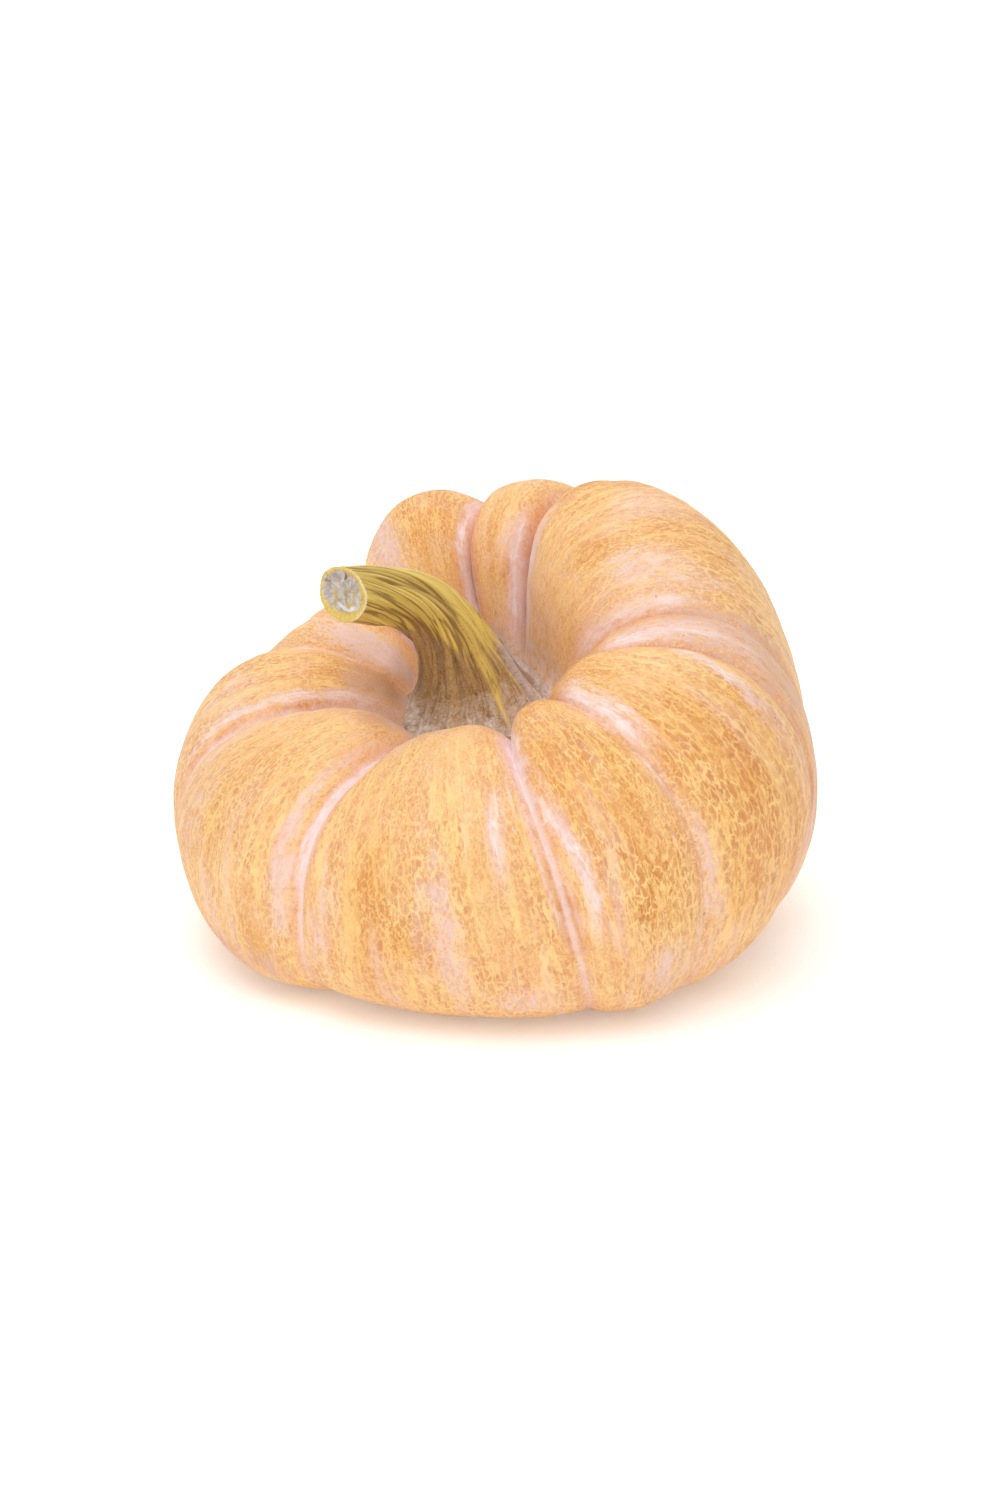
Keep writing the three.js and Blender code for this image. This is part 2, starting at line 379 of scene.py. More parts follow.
def fruit_points(around, down, radius, lean, relief_extra=0.0):
    """Points of the fruit in mm before it is set down, at shares round and from seat to blossom end."""
    _, across, crest, half_angle, twist, bow, groove_share = lobe_place(around)
    twisted = smoothstep(down, *TWIST_STRETCH)
    bow_start, bow_end = BOW_STRETCH
    bowed = np.sin(np.pi * np.clip((down - bow_start) / (bow_end - bow_start), 0.0, 1.0))
    azimuth = crest + twist * twisted + bow * bowed

    bulge = (1.0 - np.abs(across) ** LOBE_SQUARENESS) ** LOBE_FULLNESS
    full_bulge = math.hypot(1.0, GROOVE_ROUNDING) - GROOVE_ROUNDING
    bulge = (np.hypot(bulge, GROOVE_ROUNDING) - GROOVE_ROUNDING) / full_bulge
    depth = value_along(GROOVE_DEPTH, down)
    half_width = np.radians(half_angle) * radius
    swell = WIDE_LOBE_SWELL * (half_width - EVEN_LOBE_HALF_WIDTH) * depth * bulge
    relief = depth * groove_share * (bulge - 1.0) + swell + relief_extra

    base = curve_through(PROFILE, down, False) * radius
    ahead = curve_through(PROFILE, np.minimum(down + TANGENT_STEP, 1.0), False)
    behind = curve_through(PROFILE, np.maximum(down - TANGENT_STEP, 0.0), False)
    tangent = ahead - behind
    tangent /= np.linalg.norm(tangent, axis=-1)[..., None]

    rise, shoulder, seat, belly = np.moveaxis(crown_at(crest), -1, 0)
    out = base[..., 0] - tangent[..., 1] * relief
    for move, span in ((shoulder, SHOULDER_SPAN), (seat, SEAT_SPAN), (belly, BELLY_SPAN)):
        out = out + move * share_within(span, down)
    height = base[..., 1] + tangent[..., 0] * relief + rise * share_within(RIM_SPAN, down)

    angle = np.radians(lean) * (1.0 - smoothstep(down, *LEAN_FADE))
    from_lean = np.radians(azimuth - LEAN_AZIMUTH)
    along = out * np.cos(from_lean) * np.cos(angle) + height * np.sin(angle)
    side = out * np.sin(from_lean)
    z = height * np.cos(angle) - out * np.cos(from_lean) * np.sin(angle)
    lean_angle = math.radians(LEAN_AZIMUTH)
    x = along * math.cos(lean_angle) - side * math.sin(lean_angle)
    y = along * math.sin(lean_angle) + side * math.cos(lean_angle)
    return np.stack([x, y, z], -1)


def settling_move(radius, lean):
    """The move that centres the fruit's outline and sinks its underside by the depth of the resting flat."""
    columns = SETTLING_COLUMNS * len(GROOVES)
    around = np.repeat(np.arange(columns) / columns, SETTLING_RINGS + 1)
    down = np.tile(np.linspace(0.0, 1.0, SETTLING_RINGS + 1), columns)
    points = fruit_points(around, down, radius, lean)
    low = points.min(0)
    high = points.max(0)
    middle = (low + high) / 2.0
    return np.array((-middle[0], -middle[1], -low[2] - RESTING_FLAT_DEPTH))


def set_on_floor(points, move):
    """Moves points by the settling move and flattens what would be below the floor."""
    moved = points + move
    moved[..., 2] = np.maximum(moved[..., 2], 0.0)
    return moved


def add_attribute(mesh, name, values):
    """Stores one number, or one vector, for each vertex."""
    values = np.asarray(values, np.float32)
    kind = "FLOAT" if values.ndim == 1 else "FLOAT_VECTOR"
    attribute = mesh.attributes.new(name, kind, "POINT")
    attribute.data.foreach_set("value" if values.ndim == 1 else "vector", values.ravel())


def vertex_places(mesh):
    """The mesh's vertex positions as an array."""
    places = np.zeros(len(mesh.vertices) * 3)
    mesh.vertices.foreach_get("co", places)
    return places.reshape(-1, 3)


def piece_from(bm, name):
    """Makes an object of a bmesh, with smooth shading."""
    mesh = bpy.data.meshes.new(name)
    bm.to_mesh(mesh)
    bm.free()
    mesh.shade_smooth()
    piece = bpy.data.objects.new(name, mesh)
    bpy.context.scene.collection.objects.link(piece)
    return piece


def furrow_relief(crest, down, radius):
    """Relief of the shallow furrows in mm."""
    relief = np.zeros_like(down)
    for points, depth, half_width in FURROWS:
        azimuths, places = zip(*points)
        line = np.interp(down, places, azimuths)
        gap = np.radians(turn_between(crest, line)) * radius
        relief -= depth * (np.exp(-((gap / half_width) ** 2)) * eased_ends(places, FURROW_ENDS, down))
    return relief


def meridian_length(down, radius):
    """Length along the half outline in mm, longer where the fruit is narrower, so spots keep their shape."""
    fine = np.linspace(0.0, 1.0, LENGTH_SAMPLES)
    outline = curve_through(PROFILE, fine, False) * radius
    widths = np.maximum(outline[1:, 0], NARROWEST_FLOW)
    steps = np.linalg.norm(np.diff(outline, axis=0), axis=1) * FLOW_RADIUS / widths
    lengths = np.concatenate([[0.0], np.cumsum(steps)])
    return np.interp(down, fine, lengths)


# Soft patches painted on the rind: azimuth, share down, reach in degrees, reach down, strength.
# Places on the front follow the photo, seen through the camera, and those behind are guessed.
NET_PATCHES = (
    (322, 0.52, 13, 0.14, 0.85),
    (300, 0.52, 13, 0.16, 1.0),
    (258, 0.54, 24, 0.15, 0.9),
    (224, 0.54, 11, 0.16, 0.9),
    (204, 0.48, 12, 0.14, 0.7),
    (172, 0.50, 16, 0.16, 0.6),
    (345, 0.52, 10, 0.12, 0.5),
    (20, 0.44, 22, 0.14, 0.55),
    (45, 0.54, 22, 0.14, 0.7),
    (73, 0.52, 16, 0.16, 0.7),
    (105, 0.52, 22, 0.16, 0.8),
    (141, 0.54, 16, 0.15, 0.6),
    (330, 0.35, 14, 0.08, 0.85),
    (304, 0.38, 8, 0.10, 0.8),
)
BLOOM_PATCHES = (
    (222, 0.22, 9, 0.04, 0.9),
    (200, 0.205, 28, 0.03, 0.9),
    (30, 0.21, 16, 0.04, 0.45),
    (247, 0.31, 5, 0.03, 0.9),
    (230.5, 0.46, 2.5, 0.20, 0.7),
    (240, 0.45, 4, 0.15, 0.25),
    (265, 0.60, 4, 0.13, 0.7),
    (285, 0.34, 4, 0.10, 0.8),
    (304, 0.67, 9, 0.06, 0.6),
    (336, 0.52, 5, 0.10, 0.45),
    (348, 0.40, 6, 0.12, 0.6),
    (4, 0.38, 5, 0.10, 0.6),
    (52, 0.29, 7, 0.07, 0.8),
    (115, 0.36, 5, 0.08, 0.9),
    (145, 0.28, 9, 0.12, 0.9),
    (170, 0.19, 14, 0.025, 0.8),
    (182, 0.42, 3, 0.12, 0.5),
    (73, 0.18, 10, 0.04, 0.6),
    (175, 0.43, 10, 0.06, 0.5),
    (194, 0.44, 5, 0.12, 0.5),
    (258, 0.28, 9, 0.04, 0.6),
    (66, 0.30, 7, 0.06, 0.6),
    (30, 0.40, 12, 0.06, 0.5),
    (9, 0.36, 8, 0.06, 0.7),
    (354, 0.45, 6, 0.06, 0.5),
    (313, 0.57, 2, 0.09, 0.6),
    (212, 0.64, 6, 0.08, 0.5),
    (2, 0.55, 12, 0.14, 0.35),
    (203, 0.51, 8, 0.12, 0.5),
    (275, 0.70, 8, 0.05, 0.6),
    (240, 0.62, 4, 0.10, 0.6),
)
AMBER_PATCHES = (
    (320, 0.45, 8, 0.10, 0.8),
    (351, 0.50, 10, 0.12, 0.6),
    (212, 0.72, 12, 0.05, 0.9),
    (45, 0.38, 14, 0.08, 0.7),
    (20, 0.43, 12, 0.08, 0.6),
    (73, 0.32, 5, 0.10, 0.7),
    (306, 0.29, 8, 0.04, 0.8),
    (256, 0.60, 7, 0.06, 0.7),
    (100, 0.36, 12, 0.14, 0.8),
    (204, 0.52, 12, 0.14, 0.5),
    (340, 0.58, 12, 0.12, 0.5),
    (218, 0.28, 9, 0.03, 0.8),
    (226, 0.67, 6, 0.07, 0.8),
    (334, 0.61, 14, 0.08, 1.0),
    (321, 0.60, 7, 0.07, 0.9),
    (334, 0.49, 8, 0.07, 0.6),
    (184, 0.33, 6, 0.05, 0.8),
    (300, 0.34, 6, 0.06, 0.6),
    (50, 0.46, 16, 0.08, 0.6),
    (330, 0.275, 13, 0.03, 0.9),
    (300, 0.27, 9, 0.03, 0.9),
    (251, 0.56, 6, 0.14, 0.8),
    (298, 0.42, 11, 0.14, 0.9),
    (301, 0.55, 9, 0.08, 0.7),
    (286, 0.59, 2.5, 0.06, 0.9),
    (322, 0.33, 10, 0.06, 0.6),
    (324, 0.54, 9, 0.08, 1.0),
    (350, 0.27, 5, 0.03, 0.7),
    (22, 0.32, 13, 0.04, 0.6),
    (66, 0.25, 2, 0.03, 1.0),
    (168, 0.28, 14, 0.08, 1.0),
    (153, 0.31, 3, 0.07, 0.8),
    (100, 0.30, 8, 0.08, 0.4),
    (214, 0.42, 7, 0.10, 0.4),
    (110, 0.55, 10, 0.10, 0.7),
    (75, 0.50, 9, 0.12, 0.6),
    (45, 0.55, 12, 0.10, 0.5),
)
# Pale yellow patches: partly paler skin, partly a painted highlight on the crest of the front lobe.
YELLOW_AND_HIGHLIGHT_PATCHES = (
    (266, 0.34, 10, 0.08, 1.0),
    (203, 0.38, 9, 0.06, 0.8),
    (328, 0.41, 8, 0.05, 0.7),
    (246, 0.66, 7, 0.08, 0.5),
    (33, 0.22, 14, 0.06, 0.7),
    (278, 0.56, 3, 0.10, 0.6),
    (330, 0.64, 8, 0.05, 0.5),
)
# Brownish pink patches: partly the skin's own tone, partly painted shade on the lobe under the stem, in the
# basin by the stem, on the right side and along the lower edges.
DUSKY_AND_SHADE_PATCHES = (
    (147, 0.27, 10, 0.10, 0.9),
    (216, 0.25, 11, 0.05, 0.8),
    (176, 0.27, 9, 0.04, 0.7),
    (200, 0.30, 10, 0.03, 0.5),
    (350, 0.46, 10, 0.14, 1.0),
    (352, 0.62, 12, 0.08, 0.5),
    (326, 0.64, 12, 0.05, 0.3),
    (226, 0.70, 9, 0.05, 0.6),
    (209, 0.71, 10, 0.05, 0.9),
    (172, 0.24, 9, 0.06, 0.9),
    (203, 0.24, 12, 0.05, 0.8),
    (247, 0.31, 5, 0.03, 0.5),
    (35, 0.17, 30, 0.03, 0.2),
    (72, 0.17, 14, 0.03, 0.35),
    (303, 0.70, 14, 0.06, 0.4),
)

PAINTED = {
    "net": NET_PATCHES,
    "yellow": YELLOW_AND_HIGHLIGHT_PATCHES,
    "dusky_and_shade": DUSKY_AND_SHADE_PATCHES,
    "bloom": BLOOM_PATCHES,
    "amber": AMBER_PATCHES,
}

# Whitish bands: points as (azimuth, share down), then half width in mm and strength.
# BAND_LIMIT is how far across they are told apart, in half widths.
PALE_BANDS = (
    (((236, 0.24), (235, 0.40), (235, 0.56)), 1.5, 0.75),
    (((279, 0.42), (277, 0.47), (276, 0.53)), 3.2, 0.8),
    (((284, 0.43), (284, 0.50), (284, 0.60)), 1.5, 0.5),
    (((287, 0.24), (287, 0.36), (286, 0.45)), 3.4, 0.8),
    (((315, 0.29), (314, 0.38), (313, 0.45)), 4.6, 0.8),
    (((287, 0.43), (289, 0.47), (291, 0.51), (291, 0.56), (290, 0.61)), 2.8, 0.8),
    (((311, 0.43), (311, 0.47), (311, 0.51)), 2.4, 0.5),
    (((341, 0.38), (337, 0.44), (335, 0.50)), 2.8, 0.7),
    (((344, 0.29), (345, 0.34), (346, 0.39)), 4.4, 0.8),
    (((347, 0.36), (348, 0.46)), 2.4, 0.4),
    (((358, 0.21), (358, 0.33), (358, 0.42)), 2.6, 0.6),
    (((64, 0.17), (64, 0.26), (64, 0.36)), 1.5, 1.0),
    (((55, 0.17), (54, 0.23), (52, 0.30)), 6.0, 0.9),
    (((89, 0.18), (89, 0.27), (89, 0.35), (88, 0.45)), 1.7, 1.0),
    (((61, 0.38), (60, 0.50), (60, 0.66)), 2.6, 0.6),
    (((86, 0.44), (87, 0.55), (87, 0.68)), 2.4, 0.6),
    (((127, 0.30), (126, 0.45), (125, 0.68)), 2.6, 0.7),
    (((156, 0.28), (156, 0.45), (157, 0.66)), 1.8, 0.5),
    (((183, 0.22), (183, 0.36), (184, 0.52)), 2.0, 0.6),
)
BAND_LIMIT = 2.8
BAND_LAYERS = 2


def turn_between(azimuth, start):
    """The turn in degrees from one azimuth to another, the shorter way."""
    return (azimuth - start + FULL_TURN / 2) % FULL_TURN - FULL_TURN / 2


def band_place(bands, crest, down, reach):
    """The signed place across the nearest band, 0 on its middle and 1 at its edge, and its strength there."""
    nearest = np.full_like(down, np.inf)
    strength = np.zeros_like(down)
    for points, half_width, share in bands:
        azimuths, places = zip(*points)
        across = np.radians(turn_between(crest, np.interp(down, places, azimuths))) * reach / half_width
        here = share * eased_ends(places, BAND_ENDS, down)
        closer = (np.abs(across) < np.abs(nearest)) & (here > 0.0)
        nearest = np.where(closer, across, nearest)
        strength = np.where(closer, here, strength)
    nearest = np.clip(nearest, -BAND_LIMIT, BAND_LIMIT)
    return nearest, strength * (1.0 - smoothstep(np.abs(nearest), 0.8 * BAND_LIMIT, BAND_LIMIT))


def painted(patches, crest, down):
    """A soft mask made of round patches."""
    mask = np.zeros_like(down)
    for azimuth, place, reach, reach_down, strength in patches:
        gap = (turn_between(crest, azimuth) / reach) ** 2 + ((down - place) / reach_down) ** 2
        mask = np.maximum(mask, strength * np.exp(-gap))
    return mask


def rolled_ball(columns, rings):
    """A ball rolled up from a grid, whose vertices stand for shares of the way round and down."""
    bm = bmesh.new()
    bmesh.ops.create_grid(bm, x_segments=columns, y_segments=rings, size=1.0)
    for vertex in bm.verts:
        turn = math.pi * (vertex.co.x + 1.0)
        fall = math.pi * (1.0 - vertex.co.y) / 2.0
        vertex.co = (math.sin(fall) * math.cos(turn), math.sin(fall) * math.sin(turn), math.cos(fall))
    bmesh.ops.remove_doubles(bm, verts=bm.verts, dist=SEAM_MERGE)
    bmesh.ops.recalc_face_normals(bm, faces=bm.faces)
    return bm


def ball_shares(mesh, columns, rings):
    """The share of the way round and down that each vertex of a rolled ball stands for."""
    x, y, z = vertex_places(mesh).T
    around = np.round(np.arctan2(y, x) / (2.0 * np.pi) * columns) % columns / columns
    down = np.round(np.arccos(np.clip(z, -1.0, 1.0)) / np.pi * rings) / rings
    return around, down


def soft_noise(places, frequency, octaves):
    """Smooth noise from about -1 to 1 at an array of places."""
    return np.array([noise.fractal(Vector(place) * frequency, 1.0, 2.0, octaves) for place in places])


def place_vertices(mesh, places):
    """Sets all vertex positions, given in mm."""
    mesh.vertices.foreach_set("co", (places * MM).ravel())
    mesh.update()


def build_fruit(settings):
    """The fruit: a ball whose vertices are laid on the lobed surface, with masks for its finish."""
    columns = settings.columns_per_lobe * len(GROOVES)
    rings = settings.rings
    radius = settings.equator_radius / MM
    lean = math.degrees(settings.crown_lean)
    piece = piece_from(rolled_ball(columns, rings), "pumpkin_fruit")
    mesh = piece.data
    around, down = ball_shares(mesh, columns, rings)
    _, across, crest, half_angle, _, _, groove_share = lobe_place(around)

    length = meridian_length(down, radius)
    crest_angle = np.radians(crest)
    flow = np.stack([FLOW_RADIUS * np.cos(crest_angle), FLOW_RADIUS * np.sin(crest_angle), length], -1)
    waves = settings.unevenness / MM * soft_noise(flow, WAVE_SCALE, 3) * share_within(WAVE_SPAN, down)
    points = fruit_points(around, down, radius, lean, furrow_relief(crest, down, radius) + waves)
    place_vertices(mesh, set_on_floor(points, settling_move(radius, lean)))

    outline = curve_through(PROFILE, down, False)[..., 0] * radius
    gap = (1.0 - np.abs(across)) * np.radians(half_angle) * outline
    add_attribute(mesh, "flow", flow * MM)
    add_attribute(mesh, "down", down)
    add_attribute(mesh, "groove_gap", gap)
    add_attribute(mesh, "groove_share", groove_share)
    for layer in range(BAND_LAYERS):
        band, strength = band_place(PALE_BANDS[layer::BAND_LAYERS], crest, down, outline)
        add_attribute(mesh, f"band_{layer}", band)
        add_attribute(mesh, f"band_strength_{layer}", strength)
    for name, patches in PAINTED.items():
        add_attribute(mesh, name, painted(patches, crest, down))
    return piece


def stem_relief(turned, along, depth):
    """The stem's relief in mm with its ridge tops, its furrows and its marked ribs as masks."""
    circle = np.stack([np.cos(turned), np.sin(turned), along * RIDGE_WANDER], -1)
    coarse = np.abs(soft_noise(circle, 2.3, 2))
    fine = np.abs(soft_noise(circle + 3.0, 4.8, 2))
    relief = depth * (1.7 * np.minimum(coarse, 0.7) + 0.9 * np.minimum(fine, 0.6) - 0.7)
    furrows = np.maximum(np.exp(-((coarse / 0.085) ** 2)), 0.9 * np.exp(-((fine / 0.08) ** 2)))
    tops = smoothstep(coarse + 0.7 * fine, 0.15, 0.7)
    ribs = np.zeros_like(along)
    for place, half_width, height, start, end, strength in STEM_RIBS:
        gap = turn_between(np.degrees(turned), place) / half_width
        here = np.exp(-(gap**2)) * share_within((start - 0.05, start + 0.1, end - 0.2, end), along)
        relief += height * here
        ribs = np.maximum(ribs, strength * here)
    return relief, tops, furrows, ribs


def build_stem(settings):
    """The stem: a ball drawn out along the centre line, with turning ridges and a recessed cut."""
    columns = settings.columns
    body_rings = settings.rings
    rings = body_rings + CUT_RINGS
    piece = piece_from(rolled_ball(columns, rings), "pumpkin_stem")
    mesh = piece.data
    around, down = ball_shares(mesh, columns, rings)
    ring = rings - np.round(down * rings).astype(int)

    along = np.clip((ring - 1) / (body_rings - 1), 0.0, 1.0)
    share = np.clip((rings - ring) / CUT_RINGS, 0.0, 1.0)
    share = np.where(ring == 0, 0.0, share)
    cut_shares, cut_drops = zip(*reversed(CUT_PROFILE))
    drop = np.where(ring > body_rings, np.interp(share, cut_shares, cut_drops), 0.0)

    centre = curve_through(STEM_PATH, along, True)
    tangent = curve_through(STEM_PATH, along + TANGENT_STEP, True)
    tangent = tangent - curve_through(STEM_PATH, along - TANGENT_STEP, True)
    tangent /= np.linalg.norm(tangent, axis=1)[:, None]
    across_bend = direction(STEM_BEND_AZIMUTH + 90, 0)
    first = across_bend - tangent * (tangent @ across_bend)[:, None]
    first /= np.linalg.norm(first, axis=1)[:, None]
    second = np.cross(tangent, first)

    angle = 2.0 * np.pi * around
    turned = angle - np.radians(value_along(RIDGE_TURN, along))
    main = np.abs(np.cos(MAIN_RIDGES / 2 * angle)) ** 0.8 * 2.0 - 1.0
    relief, tops, furrows, ribs = stem_relief(turned, along, settings.flute_depth / MM)
    relief *= 1.0 - 0.85 * smoothstep(along, 0.88, 1.0)
    radius = value_along(STEM_RADIUS, along) * (1.0 + value_along(STEM_RIDGES, along) * main) + relief
    radial = (first * np.cos(angle)[:, None] + second * np.sin(angle)[:, None]) * (radius * share)[:, None]
    normal = direction(CUT_AZIMUTH, CUT_ELEVATION)
    lead = tangent @ normal
    slant = -smoothstep(along, CUT_BLEND_START, 1.0) * (radial @ normal) / lead
    points = centre + radial + tangent * slant[:, None] - normal * drop[:, None]
    place_vertices(mesh, points)

    lengths = along * STEM_LENGTH
    flow = np.stack([STEM_FLOW_RADIUS * np.cos(turned), STEM_FLOW_RADIUS * np.sin(turned), lengths], -1)
    side = np.degrees(np.arctan2(np.sin(angle), np.cos(angle)))
    ash = np.exp(-((turn_between(np.degrees(turned), ASH_PLACE[0]) / ASH_PLACE[1]) ** 2))
    level = radial @ direction(CUT_AZIMUTH + 90, 0) / STEM_RADIUS[-1][1]
    upright = radial @ direction(CUT_AZIMUTH, CUT_ELEVATION + 90) / STEM_RADIUS[-1][1]
    attributes = {
        "flow": flow * MM,
        "along": along,
        "tops": tops,
        "furrows": furrows,
        "ribs": ribs,
        "ash": ash * share_within(ASH_SPAN, along),
        "brown": value_along(BROWN_REACH, side) - along,
        "cut": np.where(ring > body_rings, 1.0 - share, 0.0),
        "face": np.stack([level, upright, np.zeros_like(level)], -1),
    }
    for name, values in attributes.items():
        add_attribute(mesh, name, values)
    return piece


class Nodes:
    """Adds nodes to one tree, and sets or joins their inputs."""

    def __init__(self, tree):
        self.tree = tree

    def feed(self, socket, value):
        """Joins a socket to another's output, or gives it a value; colours get full alpha."""
        if isinstance(value, bpy.types.NodeSocket):
            self.tree.links.new(value, socket)
        elif socket.type == "RGBA":
            socket.default_value = (*value, 1.0)
        else:
            socket.default_value = value

    def add(self, kind, inputs=None, **settings):
        """Adds a node with its settings and its inputs by name."""
        node = self.tree.nodes.new(kind)
        for name, value in settings.items():
            setattr(node, name, value)
        for name, value in (inputs or {}).items():
            self.feed(node.inputs[name], value)
        return node

    def number(self, name):
        """A mesh attribute that holds one number."""
        return self.add("ShaderNodeAttribute", attribute_name=name).outputs["Fac"]

    def vector(self, name):
        """A mesh attribute that holds a vector."""
        return self.add("ShaderNodeAttribute", attribute_name=name).outputs["Vector"]

    def math(self, operation, *values):
        """A calculation on one to three numbers."""
        node = self.add("ShaderNodeMath", operation=operation)
        for socket, value in zip(node.inputs, values):
            self.feed(socket, value)
        return node.outputs[0]

    def plus(self, first, second):
        """The sum of two numbers."""
        return self.math("ADD", first, second)

    def minus(self, first, second):
        """The first number less the second."""
        return self.math("SUBTRACT", first, second)

    def product(self, *values):
        """All the numbers multiplied together."""
        result = values[0]
        for value in values[1:]:
            result = self.math("MULTIPLY", result, value)
        return result

    def step(self, value, start, end, low=0.0, high=1.0):
        """Eases from low to high while the value goes from start to end."""
        inputs = {"Value": value, "From Min": start, "From Max": end, "To Min": low, "To Max": high}
        return self.add("ShaderNodeMapRange", inputs, interpolation_type="SMOOTHSTEP").outputs[0]

    def fade(self, value, start, end, low=0.0):
        """Eases from 1 to low while the value goes from start to end."""
        return self.step(value, start, end, 1.0, low)

    def mix(self, share, first, second, blend="MIX"):
        """Blends two colours."""
        node = self.add("ShaderNodeMix", data_type="RGBA", blend_type=blend)
        self.feed(node.inputs["Factor"], share)
        self.feed(node.inputs[6], first)
        self.feed(node.inputs[7], second)
        return node.outputs[2]

    def coat(self, color, over, *shares):
        """Lays one colour over another by the product of its shares."""
        return self.mix(self.product(*shares), color, over)

    def stretch(self, vector, across, along):
        """Scales a surface vector by one number across the grain and another along it."""
        node = self.add("ShaderNodeVectorMath", operation="MULTIPLY")
        self.feed(node.inputs[0], vector)
        node.inputs[1].default_value = (across, across, along)
        return node.outputs[0]

    def noise(self, vector, detail=2.0, roughness=0.5, scale=1.0, output="Fac"):
        """Smooth noise, about 0 to 1."""
        inputs = {"Vector": vector, "Detail": detail, "Roughness": roughness, "Scale": scale}
        return self.add("ShaderNodeTexNoise", inputs).outputs[output]

    def flow_noise(self, vector, across, along, detail=2.0, roughness=0.5, output="Fac"):
        """Smooth noise on a stretched surface vector."""
        return self.noise(self.stretch(vector, across, along), detail, roughness, output=output)

    def shifted(self, vector, colored, reach):
        """A vector pushed about by coloured noise."""
        node = self.add("ShaderNodeVectorMath", operation="MULTIPLY_ADD")
        self.feed(node.inputs[0], colored)
        node.inputs[1].default_value = reach
        self.feed(node.inputs[2], vector)
        return node.outputs[0]

    def bump(self, shader, height, distance, strength):
        """Raises a shader's surface by a height."""
        inputs = {"Height": height, "Distance": distance, "Strength": strength}
        self.feed(shader.inputs["Normal"], self.add("ShaderNodeBump", inputs).outputs["Normal"])

    def cells(self, vector, feature="F1", output="Distance"):
        """Cells about one unit wide."""
        inputs = {"Vector": vector, "Scale": 1.0}
        return self.add("ShaderNodeTexVoronoi", inputs, feature=feature).outputs[output]

    def group(self, tree, inputs):
        """Places a shared node group."""
        node = self.add("ShaderNodeGroup", node_tree=tree)
        for name, value in inputs.items():
            self.feed(node.inputs[name], value)
        return node.outputs


def shared_group(name, inputs, outputs):
    """Starts a node group with named sockets, and returns it with its nodes and its two ends."""
    tree = bpy.data.node_groups.new(name, "ShaderNodeTree")
    for socket, kind in inputs:
        tree.interface.new_socket(name=socket, in_out="INPUT", socket_type=kind)
    for socket in outputs:
        tree.interface.new_socket(name=socket, in_out="OUTPUT", socket_type="NodeSocketFloat")
    nodes = Nodes(tree)
    return tree, nodes, nodes.add("NodeGroupInput"), nodes.add("NodeGroupOutput")


def long_streaks_group():
    """Streaks that run with the growth, from an already stretched surface vector."""
    name = "Long Streaks"
    if name in bpy.data.node_groups:
        return bpy.data.node_groups[name]
    sockets = (("Vector", "NodeSocketVector"), ("Level", "NodeSocketFloat"), ("Softness", "NodeSocketFloat"))
    tree, nodes, start, end = shared_group(name, sockets, ("Streaks",))
    grain = nodes.noise(start.outputs["Vector"], detail=3.0, roughness=0.6)
    low = nodes.minus(start.outputs["Level"], start.outputs["Softness"])
    high = nodes.plus(start.outputs["Level"], start.outputs["Softness"])
    nodes.feed(end.inputs["Streaks"], nodes.step(grain, low, high))
    return tree


def dust_group():
    """Cloudy patches with a fine broken edge, for bloom and dust."""
    name = "Dust Patches"
    if name in bpy.data.node_groups:
        return bpy.data.node_groups[name]
    sockets = (("Vector", "NodeSocketVector"), ("Size", "NodeSocketFloat"), ("Level", "NodeSocketFloat"))
    tree, nodes, start, end = shared_group(name, sockets, ("Patches",))
    cloud = nodes.noise(start.outputs["Vector"], 3.0, 0.6, nodes.math("DIVIDE", 1.0, start.outputs["Size"]))
    grain = nodes.noise(start.outputs["Vector"], 2.0, 0.6, nodes.math("DIVIDE", 7.0, start.outputs["Size"]))
    level = nodes.plus(cloud, nodes.math("MULTIPLY", nodes.minus(grain, 0.5), 0.35))
    high = nodes.plus(start.outputs["Level"], 0.12)
    nodes.feed(end.inputs["Patches"], nodes.step(level, start.outputs["Level"], high))
    return tree


def long_streaks(nodes, flow, across, along, softness):
    """Streaks at a scale across and along the growth."""
    inputs = {"Vector": nodes.stretch(flow, across, along), "Level": 0.55, "Softness": softness}
    return nodes.group(long_streaks_group(), inputs)["Streaks"]


def dust(nodes, flow, size, level):
    """Patches about the given size, in metres."""
    return nodes.group(dust_group(), {"Vector": flow, "Size": size, "Level": level})["Patches"]


def new_material(name):
    """A material with an empty shader, and its nodes."""
    material = bpy.data.materials.new(name)
    material.use_nodes = True
    tree = material.node_tree
    tree.nodes.clear()
    nodes = Nodes(tree)
    shader = nodes.add("ShaderNodeBsdfPrincipled")
    output = nodes.add("ShaderNodeOutputMaterial")
    nodes.feed(output.inputs["Surface"], shader.outputs["BSDF"])
    return material, nodes, shader


